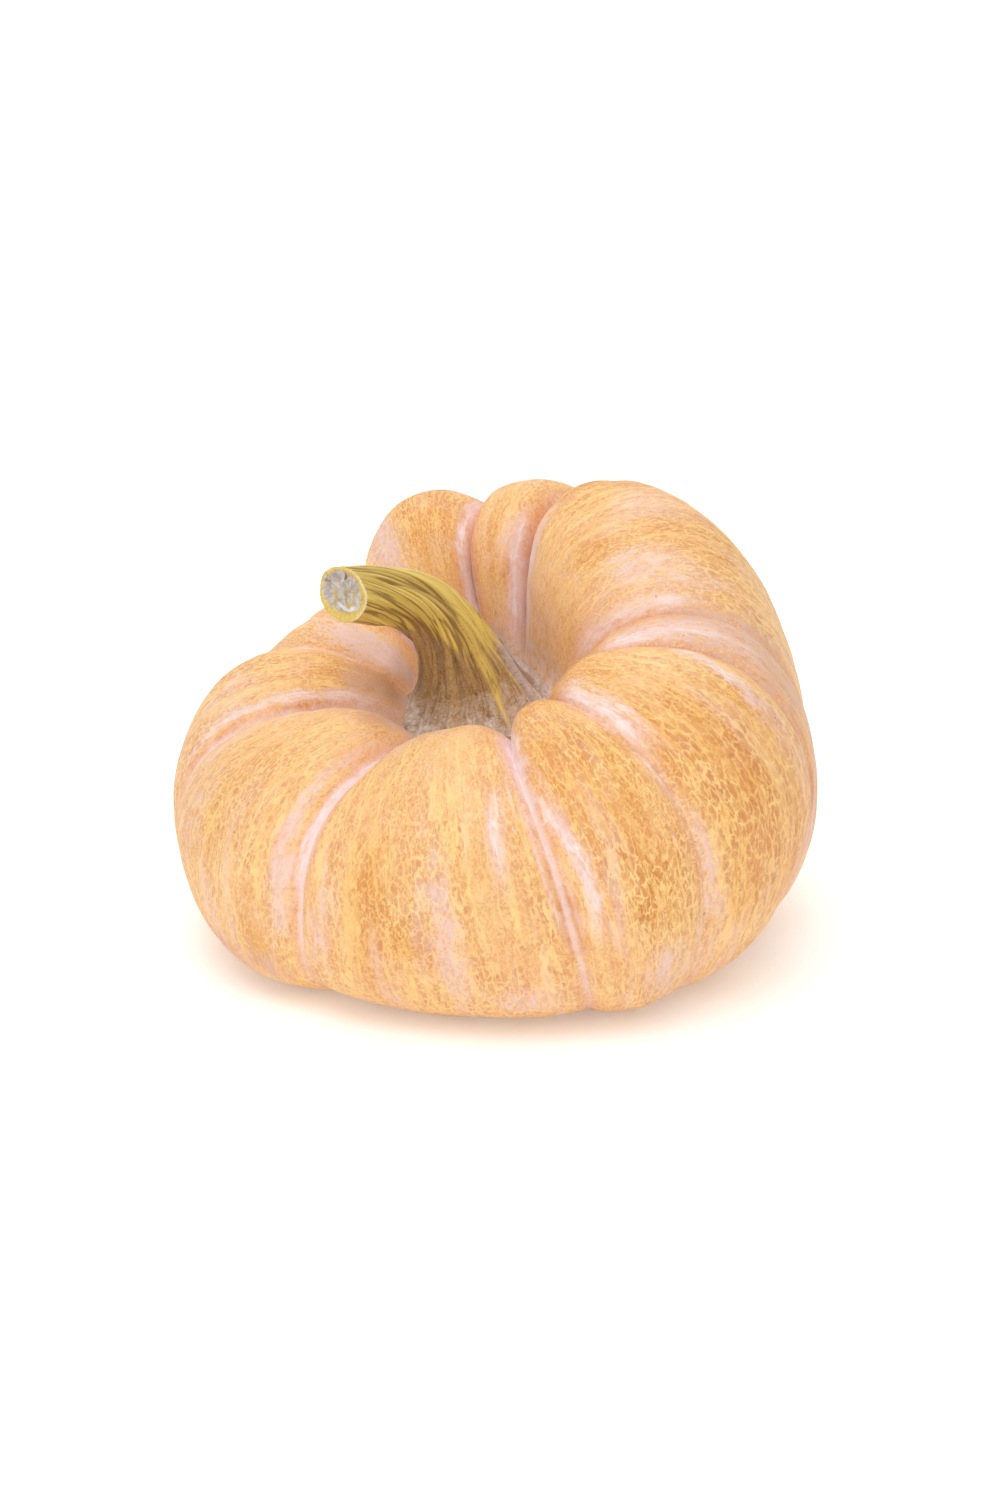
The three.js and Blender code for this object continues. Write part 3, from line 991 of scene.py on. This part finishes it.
def rind_material(settings):
    """The fruit's skin: peach with pale streaks, a corky net, whitish bands, bloom and small pores."""
    material, nodes, shader = new_material("Pumpkin Rind")
    flow = nodes.vector("flow")
    down = nodes.number("down")
    gap = nodes.number("groove_gap")
    amber = settings.amber_color
    pale = settings.streak_and_highlight_color
    bloom_color = settings.bloom_color
    vein_color = settings.vein_color
    cell_color = settings.cell_color
    white = settings.groove_line_and_light_color

    broad = nodes.flow_noise(flow, 30.0, 15.0, 3.0, 0.6)
    ragged = nodes.flow_noise(flow, 230.0, 70.0, 3.0, 0.65)
    unevenly = nodes.minus(ragged, 0.5)

    def broken(mask, amount=1.1):
        """A soft mask with its edge broken up along the growth."""
        return nodes.step(nodes.plus(mask, nodes.product(unevenly, amount)), 0.2, 0.75)

    wander = nodes.flow_noise(flow, 220.0, 70.0, 3.0, 0.65, output="Color")
    warped = nodes.shifted(flow, wander, (0.0055, 0.0055, 0.006))
    warm = nodes.step(broad, 0.42, 0.68, 0.0, 0.5)
    warm = nodes.plus(warm, nodes.product(broken(nodes.number("amber")), 0.8))
    color = nodes.mix(warm, settings.rind_color, amber)
    # Pale yellow patches, partly paler skin and partly a painted highlight on the front lobe's crest.
    color = nodes.coat(color, pale, broken(nodes.number("yellow")), 0.5)
    # Lighter skin round the stem: partly its own tone, partly painted light that lifts the shade in the
    # basin.
    basin_and_light = nodes.step(down, 0.18, 0.34, 0.7, 0.0)
    color = nodes.coat(color, settings.basin_skin_and_light_color, basin_and_light)
    under = nodes.step(nodes.plus(down, nodes.product(unevenly, 0.12)), 0.62, 0.74, 0.0, 0.7)
    color = nodes.coat(color, settings.under_color, under)

    streaks = long_streaks(nodes, flow, 190.0, 22.0, 0.09)
    sides = nodes.step(down, 0.4, 0.58, 0.2, 1.0)
    color = nodes.coat(color, pale, streaks, sides, 0.7)
    threads = long_streaks(nodes, flow, 640.0, 90.0, 0.08)
    color = nodes.coat(color, cell_color, threads, sides, 0.35)
    blotches = nodes.step(nodes.flow_noise(flow, 140.0, 60.0, 4.0, 0.7), 0.5, 0.64)
    color = nodes.coat(color, amber, blotches, 0.4)
    mottle = nodes.step(nodes.flow_noise(flow, 300.0, 210.0, 4.0, 0.75), 0.5, 0.62)
    color = nodes.coat(color, cell_color, mottle, 0.45)
    wriggle = nodes.minus(nodes.flow_noise(warped, 260.0, 190.0, 3.0, 0.6), 0.5)
    wriggle = nodes.fade(nodes.math("ABSOLUTE", wriggle), 0.008, 0.035)
    color = nodes.coat(color, vein_color, wriggle, nodes.step(broad, 0.4, 0.6, 0.25, 0.8))
    speckle = nodes.step(nodes.flow_noise(flow, 900.0, 750.0, 2.0, 0.7), 0.52, 0.64)
    color = nodes.coat(color, cell_color, speckle, 0.5)

    cell_space = nodes.stretch(warped, 520.0, 165.0)
    ripple = nodes.flow_noise(flow, 800.0, 260.0, 3.0, 0.65)
    ripple = nodes.product(nodes.minus(ripple, 0.5), 0.55)
    edge = nodes.plus(nodes.cells(cell_space, "DISTANCE_TO_EDGE"), ripple)
    cell_tint = nodes.cells(cell_space, "F1", "Color")
    vein = nodes.fade(edge, 0.02, 0.14)
    crisp = nodes.fade(edge, 0.0, 0.07)
    cell_heart = nodes.step(edge, 0.08, 0.28)
    inner_edge = nodes.cells(nodes.stretch(warped, 760.0, 420.0), "DISTANCE_TO_EDGE")
    inner = nodes.fade(inner_edge, 0.0, 0.1)
    away = nodes.step(gap, 1.5, 8.0)
    clouds = nodes.step(nodes.flow_noise(flow, 60.0, 32.0, 3.0), 0.34, 0.6)
    spread = nodes.step(down, 0.2, 0.34, 0.2, 0.68)
    net = nodes.product(
        nodes.math("MAXIMUM", nodes.number("net"), spread),
        away,
        nodes.fade(nodes.number("yellow"), 0.1, 0.9, 0.35),
        nodes.plus(nodes.product(clouds, 0.65), 0.35),
    )
    tint = nodes.step(cell_tint, 0.1, 0.95, 0.25, 1.0)
    wide = nodes.step(nodes.flow_noise(flow, 110.0, 16.0, 3.0, 0.6), 0.46, 0.62)
    color = nodes.coat(color, vein_color, net, wide, 0.6)
    thin = nodes.minus(1.0, nodes.product(wide, 0.5))
    fainter = nodes.step(down, 0.28, 0.44, 0.55, 0.95)
    color = nodes.coat(color, cell_color, net, cell_heart, tint, thin, fainter)
    color = nodes.coat(color, vein_color, net, inner, 0.3)
    color = nodes.coat(color, vein_color, net, vein, 0.9)
    drip = nodes.minus(nodes.flow_noise(warped, 135.0, 9.0, 2.0), 0.5)
    drip = nodes.fade(nodes.math("ABSOLUTE", drip), 0.008, 0.032)
    drip = nodes.product(drip, away, nodes.step(down, 0.2, 0.3), nodes.fade(down, 0.66, 0.8, 0.3))
    color = nodes.coat(color, vein_color, drip, nodes.step(ragged, 0.38, 0.58, 0.4, 0.95))

    tanned = nodes.product(broken(nodes.number("amber"), 0.9), 0.85)
    color = nodes.mix(tanned, color, settings.tan_color, "MULTIPLY")
    color = nodes.coat(color, settings.bright_color, net, crisp, 0.75)
    hazy = nodes.step(nodes.flow_noise(flow, 95.0, 13.0, 4.0, 0.65), 0.5, 0.66)
    flank = nodes.fade(gap, 4.0, 22.0, 0.45)
    lower = nodes.step(down, 0.34, 0.55, 0.1, 0.75)
    hazy = nodes.product(hazy, flank, lower, nodes.step(ragged, 0.35, 0.6, 0.4, 1.0))
    color = nodes.coat(color, bloom_color, hazy)
    cloudy = nodes.step(nodes.flow_noise(flow, 48.0, 36.0, 5.0, 0.7), 0.46, 0.66)
    color = nodes.coat(color, bloom_color, cloudy, nodes.step(down, 0.25, 0.45, 0.2, 0.05))
    mottled = nodes.step(nodes.flow_noise(flow, 430.0, 170.0, 3.0, 0.7), 0.38, 0.6, 0.35, 1.0)
    # Brownish pink skin, partly painted shade under the stem, in the basin, on the right side and at the
    # lower edges.
    dusky_and_shade = nodes.product(broken(nodes.number("dusky_and_shade"), 0.7), mottled, 0.75)
    color = nodes.coat(color, settings.dusky_and_shade_color, dusky_and_shade)

    patches = dust(nodes, flow, 0.02, 0.4)
    beside = nodes.fade(nodes.plus(gap, nodes.product(unevenly, 6.0)), 1.0, 5.5)
    crown_fade = nodes.step(down, 0.14, 0.24)
    floor_fade = nodes.fade(down, 0.52, 0.78, 0.15)
    deep = nodes.step(nodes.number("groove_share"), 0.6, 0.95, 0.15, 1.0)
    deep = nodes.product(deep, nodes.fade(nodes.number("groove_share"), 1.02, 1.2, 0.45))
    band = nodes.product(beside, nodes.plus(nodes.product(patches, 0.35), 0.15), crown_fade, floor_fade, deep)
    band = nodes.math("MAXIMUM", band, nodes.product(broken(nodes.number("bloom"), 0.9), 0.75))
    band = nodes.product(band, mottled)
    color = nodes.coat(color, bloom_color, band)
    lines = nodes.step(nodes.flow_noise(flow, 850.0, 40.0, 3.0, 0.65), 0.38, 0.6, 0.45, 1.0)
    flecks = nodes.step(nodes.flow_noise(flow, 380.0, 110.0, 3.0, 0.65), 0.34, 0.58, 0.35, 1.0)
    through = nodes.minus(1.0, nodes.product(net, cell_heart, 0.55))
    for layer in range(BAND_LAYERS):
        strength = nodes.number(f"band_strength_{layer}")
        wavy = nodes.plus(nodes.number(f"band_{layer}"), nodes.product(unevenly, 2.6))
        across = nodes.math("ABSOLUTE", wavy)
        halo = nodes.product(nodes.fade(across, 0.6, 1.9), strength, through, mottled, 0.7)
        color = nodes.coat(color, bloom_color, halo)
        core = nodes.product(nodes.step(across, 0.1, 1.15, 0.95, 0.0), strength, lines, flecks, through)
        color = nodes.coat(color, white, core)
    # Whitens the groove bottoms: partly the pale line down each groove, partly painted light that lifts the
    # shade in the creases.
    crease_line_and_light = nodes.product(nodes.step(gap, 0.3, 2.2, 0.5, 0.0), crown_fade, floor_fade, deep)
    color = nodes.coat(color, white, crease_line_and_light)
    crust_patches = dust(nodes, flow, 0.012, 0.42)
    crust = nodes.product(nodes.fade(down, 0.155, 0.2), crust_patches)
    color = nodes.coat(color, settings.crust_color, crust, 0.6)
    scar = nodes.step(nodes.plus(down, nodes.product(broad, 0.01)), 0.968, 0.976)
    color = nodes.coat(color, settings.scar_color, scar)

    pore = nodes.fade(nodes.cells(nodes.stretch(flow, 75.0, 75.0)), 0.03, 0.055)
    rare = nodes.step(nodes.cells(nodes.stretch(flow, 75.0, 75.0), "F1", "Color"), 0.6, 0.7)
    color = nodes.coat(color, settings.scar_color, pore, rare, 0.5)
    nodes.feed(shader.inputs["Base Color"], color)

    peel = nodes.flow_noise(flow, 420.0, 420.0, 2.0)
    relief = nodes.product(net, vein, 0.6)
    for layer, height in ((streaks, 0.2), (threads, -0.15), (peel, 0.3)):
        relief = nodes.plus(relief, nodes.product(layer, height))
    nodes.bump(shader, relief, 0.0006, 0.6)
    rough = nodes.plus(nodes.step(broad, 0.3, 0.7, 0.46, 0.58), nodes.product(band, 0.12))
    nodes.feed(shader.inputs["Roughness"], rough)
    shader.inputs["Specular IOR Level"].default_value = 0.35
    return material


def stem_material(settings):
    """The dried stem: yellow ridges, thin brown furrows, a dusty brown foot and a pale cut."""
    material, nodes, shader = new_material("Pumpkin Stem")
    flow = nodes.vector("flow")
    along = nodes.number("along")
    furrows = nodes.number("furrows")
    ribs = nodes.number("ribs")
    ridge_color = settings.ridge_color
    furrow_color = settings.furrow_color
    highlight = settings.highlight_color
    foot_color = settings.foot_color

    fibres = nodes.flow_noise(flow, 800.0, 50.0, 3.0, 0.65)
    grain = nodes.flow_noise(flow, 1500.0, 800.0, 4.0, 0.75)
    strand = nodes.minus(fibres, 0.5)
    tops = nodes.plus(nodes.number("tops"), nodes.product(strand, 1.6))
    color = nodes.mix(nodes.step(tops, 0.25, 0.95), ridge_color, highlight)
    ochre = nodes.step(nodes.flow_noise(flow, 130.0, 18.0, 2.0), 0.5, 0.66)
    color = nodes.coat(color, settings.ochre_color, ochre, 0.55)
    lines = nodes.step(nodes.plus(furrows, nodes.product(strand, 1.2)), 0.42, 0.85)
    color = nodes.coat(color, furrow_color, lines, 0.72)
    cracks = nodes.step(fibres, 0.6, 0.68)
    color = nodes.coat(color, furrow_color, cracks, 0.6)

    brown = nodes.plus(nodes.number("brown"), nodes.product(strand, 0.22))
    brown = nodes.minus(brown, nodes.product(ribs, 0.3))
    brown = nodes.step(brown, -0.05, 0.07)
    foot = nodes.mix(nodes.step(grain, 0.35, 0.65), foot_color, settings.ochre_color)
    foot = nodes.coat(foot, furrow_color, lines, 0.6)
    color = nodes.coat(color, foot, brown, 0.88)
    foot_rib = nodes.product(nodes.step(ribs, 0.3, 0.8), nodes.step(along, 0.2, 0.55, 0.15, 0.8))
    color = nodes.coat(color, nodes.mix(fibres, settings.ochre_color, highlight), foot_rib)
    patches = dust(nodes, flow, 0.007, 0.44)
    specks = nodes.step(grain, 0.48, 0.58)
    dusty = nodes.plus(nodes.product(patches, 0.35), nodes.product(specks, 0.3))
    dusty = nodes.product(dusty, brown, nodes.fade(along, 0.22, 0.5, 0.25))
    color = nodes.coat(color, settings.dust_color, dusty)
    ashy = nodes.step(nodes.plus(nodes.number("ash"), nodes.product(strand, 0.8)), 0.2, 0.7)
    ashy = nodes.product(ashy, nodes.step(grain, 0.36, 0.56, 0.5, 0.95))
    color = nodes.coat(color, settings.ash_color, ashy)
    color = nodes.coat(color, foot_color, ashy, lines, 0.8)
    hoary = nodes.step(nodes.plus(along, nodes.product(strand, 0.25)), 0.18, 0.38, 0.9, 0.0)
    smears = nodes.step(nodes.flow_noise(flow, 420.0, 150.0, 4.0, 0.7), 0.42, 0.62, 0.25, 1.0)
    hoary = nodes.product(hoary, smears, nodes.step(grain, 0.32, 0.55, 0.7, 1.0))
    color = nodes.coat(color, settings.crust_color, hoary)

    cut = nodes.number("cut")
    place = nodes.add("ShaderNodeTexCoord").outputs["Object"]
    swirl = nodes.flow_noise(place, 260.0, 260.0, 3.0, 0.6, output="Color")
    bent = nodes.shifted(nodes.vector("face"), swirl, (0.34, 0.34, 0.0))
    split = nodes.add("ShaderNodeSeparateXYZ", {"Vector": bent})
    level = nodes.minus(split.outputs["X"], 0.17)
    upright = nodes.minus(split.outputs["Y"], 0.17)

    def oval(middle, reach):
        """The distance from the middle of an oval on the cut, 1 at its edge."""
        first = nodes.math("DIVIDE", nodes.minus(level, middle[0]), reach[0])
        second = nodes.math("DIVIDE", nodes.minus(upright, middle[1]), reach[1])
        return nodes.math("SQRT", nodes.plus(nodes.product(first, first), nodes.product(second, second)))

    def outline(distance, thickness):
        """A line along the edge of an oval."""
        off = nodes.math("ABSOLUTE", nodes.minus(distance, 1.0))
        return nodes.fade(off, thickness / 3.0, thickness)

    streaky = nodes.flow_noise(place, 900.0, 900.0, 3.0, 0.6)
    cloudy = nodes.flow_noise(place, 420.0, 420.0, 2.0)
    pith = nodes.mix(nodes.step(cloudy, 0.36, 0.62), settings.pith_color, settings.pale_pith_color)
    pith = nodes.coat(pith, settings.ochre_color, nodes.step(streaky, 0.5, 0.64), 0.3)
    stripe = nodes.step(oval((-0.36, -0.22), (0.1, 0.5)), 0.5, 1.1, 0.85, 0.0)
    loop = outline(oval((0.17, -0.06), (0.17, 0.34)), 0.34)
    loop = nodes.product(loop, nodes.step(upright, 0.1, 0.26, 0.85, 0.0))
    pith = nodes.coat(pith, ridge_color, nodes.math("MAXIMUM", stripe, loop))
    arc = outline(oval((0.08, -0.12), (0.36, 0.44)), 0.2)
    arc = nodes.product(arc, nodes.step(upright, -0.45, -0.3, 0.9, 0.0))
    pith = nodes.coat(pith, settings.crust_color, arc)
    crack = nodes.step(oval((0.03, 0.6), (0.07, 0.2)), 0.4, 1.1, 0.9, 0.0)
    pith = nodes.coat(pith, furrow_color, crack)
    rim = nodes.fade(oval((-0.08, 0.06), (0.76, 0.78)), 0.92, 1.04)
    edge = nodes.mix(nodes.step(streaky, 0.4, 0.7), highlight, ridge_color)
    pale_edge = nodes.product(nodes.fade(cut, 0.03, 0.1), nodes.step(level, 0.2, 0.7, 0.0, 0.45))
    edge = nodes.coat(edge, settings.crust_color, pale_edge)
    face = nodes.coat(edge, pith, rim)
    color = nodes.coat(color, face, nodes.step(cut, 0.004, 0.02))
    nodes.feed(shader.inputs["Base Color"], color)

    relief = nodes.plus(nodes.product(fibres, 0.9), nodes.product(grain, 0.4))
    relief = nodes.minus(relief, nodes.product(cracks, 0.4))
    relief = nodes.plus(relief, nodes.product(patches, brown, 0.3))
    nodes.bump(shader, relief, 0.0008, 0.8)
    nodes.feed(shader.inputs["Roughness"], nodes.step(brown, 0.0, 1.0, 0.55, 0.85))
    shader.inputs["Specular IOR Level"].default_value = 0.3
    return material


def floor_material(settings):
    """The plain pale floor."""
    material, nodes, shader = new_material("Pale Floor")
    for socket in ("Base Color", "Emission Color"):
        nodes.feed(shader.inputs[socket], settings.floor_color)
    shader.inputs["Roughness"].default_value = 0.9
    shader.inputs["Specular IOR Level"].default_value = 0.1
    shader.inputs["Emission Strength"].default_value = settings.floor_glow
    return material


def soft_light(name, place, size, power):
    """A large square light that faces the pumpkin."""
    data = bpy.data.lights.new(name, "AREA")
    data.size = size
    data.energy = power
    lamp = bpy.data.objects.new(name, data)
    lamp.location = place
    lamp.rotation_euler = (Vector(AIM) - Vector(place)).to_track_quat("-Z", "Y").to_euler()
    bpy.context.scene.collection.objects.link(lamp)
    return lamp


def build_stage(settings):
    """The floor, the lights and the camera."""
    bm = bmesh.new()
    bmesh.ops.create_grid(bm, x_segments=1, y_segments=1, size=settings.floor_size / 2)
    floor = piece_from(bm, "pale_floor")
    floor.data.materials.append(floor_material(settings))

    world = bpy.data.worlds.new("Soft Room")
    world.use_nodes = True
    background = world.node_tree.nodes["Background"]
    background.inputs["Color"].default_value = (*settings.room_color, 1.0)
    background.inputs["Strength"].default_value = settings.room_light
    bpy.context.scene.world = world
    bpy.context.scene.view_settings.view_transform = "Standard"
    soft_light("Key Light", *KEY_LIGHT, settings.key_power)
    soft_light("Fill Light", *FILL_LIGHT, settings.fill_power)
    soft_light("Top Light", *TOP_LIGHT, settings.top_power)
    floor_lamp = soft_light("Floor Light", *FLOOR_LIGHT, settings.floor_power)
    floor_lamp.rotation_euler = (0.0, 0.0, 0.0)

    data = bpy.data.cameras.new("Photograph Camera")
    data.lens = CAMERA_LENS
    data.shift_x = (PICTURE_WIDTH / 2 - AIM_PIXEL[0]) / PICTURE_HEIGHT
    data.shift_y = (AIM_PIXEL[1] - PICTURE_HEIGHT / 2) / PICTURE_HEIGHT
    camera = bpy.data.objects.new("Photograph Camera", data)
    toward = direction(CAMERA_AZIMUTH, math.degrees(settings.camera_elevation))
    camera.location = Vector(AIM) + Vector(toward) * settings.camera_distance
    camera.rotation_euler = (-Vector(toward)).to_track_quat("-Z", "Y").to_euler()
    bpy.context.scene.collection.objects.link(camera)
    bpy.context.scene.camera = camera


def color_property(name, description, default):
    """A colour that the user can change."""
    return bpy.props.FloatVectorProperty(
        name=name, description=description, subtype="COLOR", size=3, min=0.0, max=1.0, default=default
    )


def length_property(name, description, default):
    """A length that the user can change, in metres."""
    return bpy.props.FloatProperty(
        name=name, description=description, default=default, min=0.0, unit="LENGTH", precision=4
    )


def angle_property(name, description, default):
    """An angle that the user can change, given in degrees."""
    return bpy.props.FloatProperty(
        name=name, description=description, default=math.radians(default), unit="ROTATION"
    )


def power_property(name, description, default):
    """A light's power that the user can change, in watts."""
    return bpy.props.FloatProperty(name=name, description=description, default=default, min=0.0, unit="POWER")


def strength_property(name, description, default):
    """A strength that the user can change."""
    return bpy.props.FloatProperty(
        name=name, description=description, default=default, min=0.0, subtype="FACTOR"
    )


def count_property(name, description, default, low, high):
    """A whole number that the user can change."""
    return bpy.props.IntProperty(name=name, description=description, default=default, min=low, max=high)


class PumpkinFruitSettings(bpy.types.PropertyGroup):
    """Sizes and colours of the fruit."""

    equator_radius: length_property("Equator Radius", "Mean radius at the widest part", 0.139)
    crown_lean: angle_property("Crown Lean", "How far the crown leans to the front left", 26.5)
    unevenness: length_property("Unevenness", "Height of the gentle waves on the lobes", 0.0011)
    columns_per_lobe: count_property("Columns per Lobe", "Faces across each lobe", 36, 6, 60)
    rings: count_property("Rings", "Faces from the seat to the blossom end", 250, 30, 400)
    rind_color: color_property("Rind", "Main colour of the rind", (0.84, 0.45, 0.215))
    amber_color: color_property("Amber", "Warm patches on the rind", (0.72, 0.33, 0.085))
    # Long pale streaks; through the yellow patches it is also a painted highlight on the front lobe's crest.
    streak_and_highlight_color: color_property("Streaks", "Long pale streaks", (0.93, 0.61, 0.275))
    vein_color: color_property("Net", "Corky net", (0.95, 0.62, 0.255))
    bright_color: color_property("Bright Veins", "The finest veins of the net", (0.97, 0.66, 0.27))
    cell_color: color_property("Net Cells", "Skin inside the net", (0.58, 0.225, 0.075))
    bloom_color: color_property("Bloom", "Pink bloom beside the grooves", (0.83, 0.61, 0.59))
    # The pale line down each groove; at the groove bottoms it is also painted light against the creases'
    # shade.
    groove_line_and_light_color: color_property("Groove Line and Painted Light", "Pale line down each groove", (0.94, 0.85, 0.89))
    tan_color: color_property("Tanned Skin", "Darkens the warm areas", (0.93, 0.81, 0.62))
    # Brownish pink skin, partly painted shade where the fruit lies in shade.
    dusky_and_shade_color: color_property("Dusky Skin and Painted Shade", "Brownish pink shoulders", (0.66, 0.41, 0.32))
    # Skin round the stem, partly painted light that lifts the shade in the basin.
    basin_skin_and_light_color: color_property("Basin and Painted Light", "Skin round the stem", (0.93, 0.59, 0.34))
    under_color: color_property("Underside", "Paler skin near the floor", (0.82, 0.50, 0.28))
    crust_color: color_property("Crust", "Dry skin at the stem's foot", (0.86, 0.77, 0.74))
    scar_color: color_property("Scar", "Blossom scar and pores", (0.22, 0.10, 0.04))


class PumpkinStemSettings(bpy.types.PropertyGroup):
    """Sizes and colours of the stem."""

    flute_depth: length_property("Flute Depth", "Depth of the furrows along the stem", 0.0014)
    columns: count_property("Columns", "Faces round the stem", 220, 24, 360)
    rings: count_property("Rings", "Faces along the stem", 220, 24, 400)
    ridge_color: color_property("Ridges", "Colour of the ridges", (0.61, 0.425, 0.095))
    highlight_color: color_property("Ridge Tops", "Lightest colour of the ridges", (0.77, 0.565, 0.15))
    ochre_color: color_property("Ochre", "Browner strips", (0.46, 0.27, 0.08))
    furrow_color: color_property("Furrows", "Colour between the ridges", (0.19, 0.09, 0.025))
    foot_color: color_property("Foot", "Brown lower half", (0.28, 0.155, 0.068))
    ash_color: color_property("Ash", "Grey lilac ribs at the foot", (0.56, 0.47, 0.46))
    dust_color: color_property("Dust", "Pale specks on the foot", (0.62, 0.50, 0.43))
    crust_color: color_property("Crust", "Whitish crust where the stem meets the fruit", (0.84, 0.77, 0.74))
    pith_color: color_property("Pith", "Middle of the cut", (0.44, 0.38, 0.34))
    pale_pith_color: color_property("Pale Pith", "Lighter fibres of the cut", (0.66, 0.60, 0.56))


class PumpkinStageSettings(bpy.types.PropertyGroup):
    """Floor, lights and camera."""

    floor_size: length_property("Floor Size", "Side of the square floor", 16.0)
    floor_color: color_property("Floor", "Colour of the floor", (0.95, 0.95, 0.945))
    room_color: color_property("Room", "Colour of the light from all round", (1.0, 0.99, 0.975))
    room_light: strength_property("Room Light", "Strength of the light from all round", 0.61)
    key_power: power_property("Key", "Light from the front left", 16.5)
    fill_power: power_property("Fill", "Light from the front right", 0.7)
    top_power: power_property("Top", "Light from above", 11.0)
    floor_power: power_property("Floor", "Light on the floor behind", 60.0)
    floor_glow: strength_property("Floor Glow", "How much the floor shines, as in a light tent", 0.22)
    camera_distance: length_property("Camera Distance", "From the pumpkin to the camera", CAMERA_DISTANCE)
    camera_elevation: angle_property("Camera Elevation", "Height of the view", CAMERA_ELEVATION)


class PUMPKIN_OT_fruit(bpy.types.Operator):
    """Build the lobed fruit with its rind"""

    bl_idname = "pumpkin.fruit"
    bl_label = "Build Fruit"
    bl_options = {"REGISTER", "UNDO"}

    def execute(self, context):
        settings = context.scene.pumpkin_fruit
        piece = build_fruit(settings)
        piece.data.materials.append(rind_material(settings))
        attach(piece, "root")
        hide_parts("fruit")
        return {"FINISHED"}


class PUMPKIN_OT_stem(bpy.types.Operator):
    """Build the dried, curved stem"""

    bl_idname = "pumpkin.stem"
    bl_label = "Build Stem"
    bl_options = {"REGISTER", "UNDO"}

    def execute(self, context):
        settings = context.scene.pumpkin_stem
        piece = build_stem(settings)
        piece.data.materials.append(stem_material(settings))
        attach(piece, "root")
        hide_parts("stem")
        return {"FINISHED"}


class PUMPKIN_OT_stage(bpy.types.Operator):
    """Build the floor, the soft lights and the camera"""

    bl_idname = "pumpkin.stage"
    bl_label = "Build Stage"
    bl_options = {"REGISTER", "UNDO"}

    def execute(self, context):
        build_stage(context.scene.pumpkin_stage)
        return {"FINISHED"}


class PUMPKIN_PT_panel(bpy.types.Panel):
    """Lists the pumpkin's pieces and their settings"""

    bl_idname = "PUMPKIN_PT_panel"
    bl_label = "Pumpkin"
    bl_space_type = "VIEW_3D"
    bl_region_type = "UI"
    bl_category = "Pumpkin"

    def draw(self, context):
        scene = context.scene
        parts = (
            (scene.pumpkin_fruit, PUMPKIN_OT_fruit.bl_idname),
            (scene.pumpkin_stem, PUMPKIN_OT_stem.bl_idname),
            (scene.pumpkin_stage, PUMPKIN_OT_stage.bl_idname),
        )
        for settings, operator in parts:
            box = self.layout.box()
            for name in settings.bl_rna.properties.keys():
                if name not in {"rna_type", "name"}:
                    box.prop(settings, name)
            box.operator(operator)


CLASSES = (
    PumpkinFruitSettings,
    PumpkinStemSettings,
    PumpkinStageSettings,
    PUMPKIN_OT_fruit,
    PUMPKIN_OT_stem,
    PUMPKIN_OT_stage,
    PUMPKIN_PT_panel,
)


def register():
    for cls in CLASSES:
        bpy.utils.register_class(cls)
    bpy.types.Scene.pumpkin_fruit = bpy.props.PointerProperty(type=PumpkinFruitSettings)
    bpy.types.Scene.pumpkin_stem = bpy.props.PointerProperty(type=PumpkinStemSettings)
    bpy.types.Scene.pumpkin_stage = bpy.props.PointerProperty(type=PumpkinStageSettings)


def unregister():
    del bpy.types.Scene.pumpkin_stage
    del bpy.types.Scene.pumpkin_stem
    del bpy.types.Scene.pumpkin_fruit
    for cls in reversed(CLASSES):
        bpy.utils.unregister_class(cls)


def main():
    register()
    bpy.ops.pumpkin.fruit()
    bpy.ops.pumpkin.stem()
    bpy.ops.pumpkin.stage()
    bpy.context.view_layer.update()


if __name__ == "__main__":
    main()
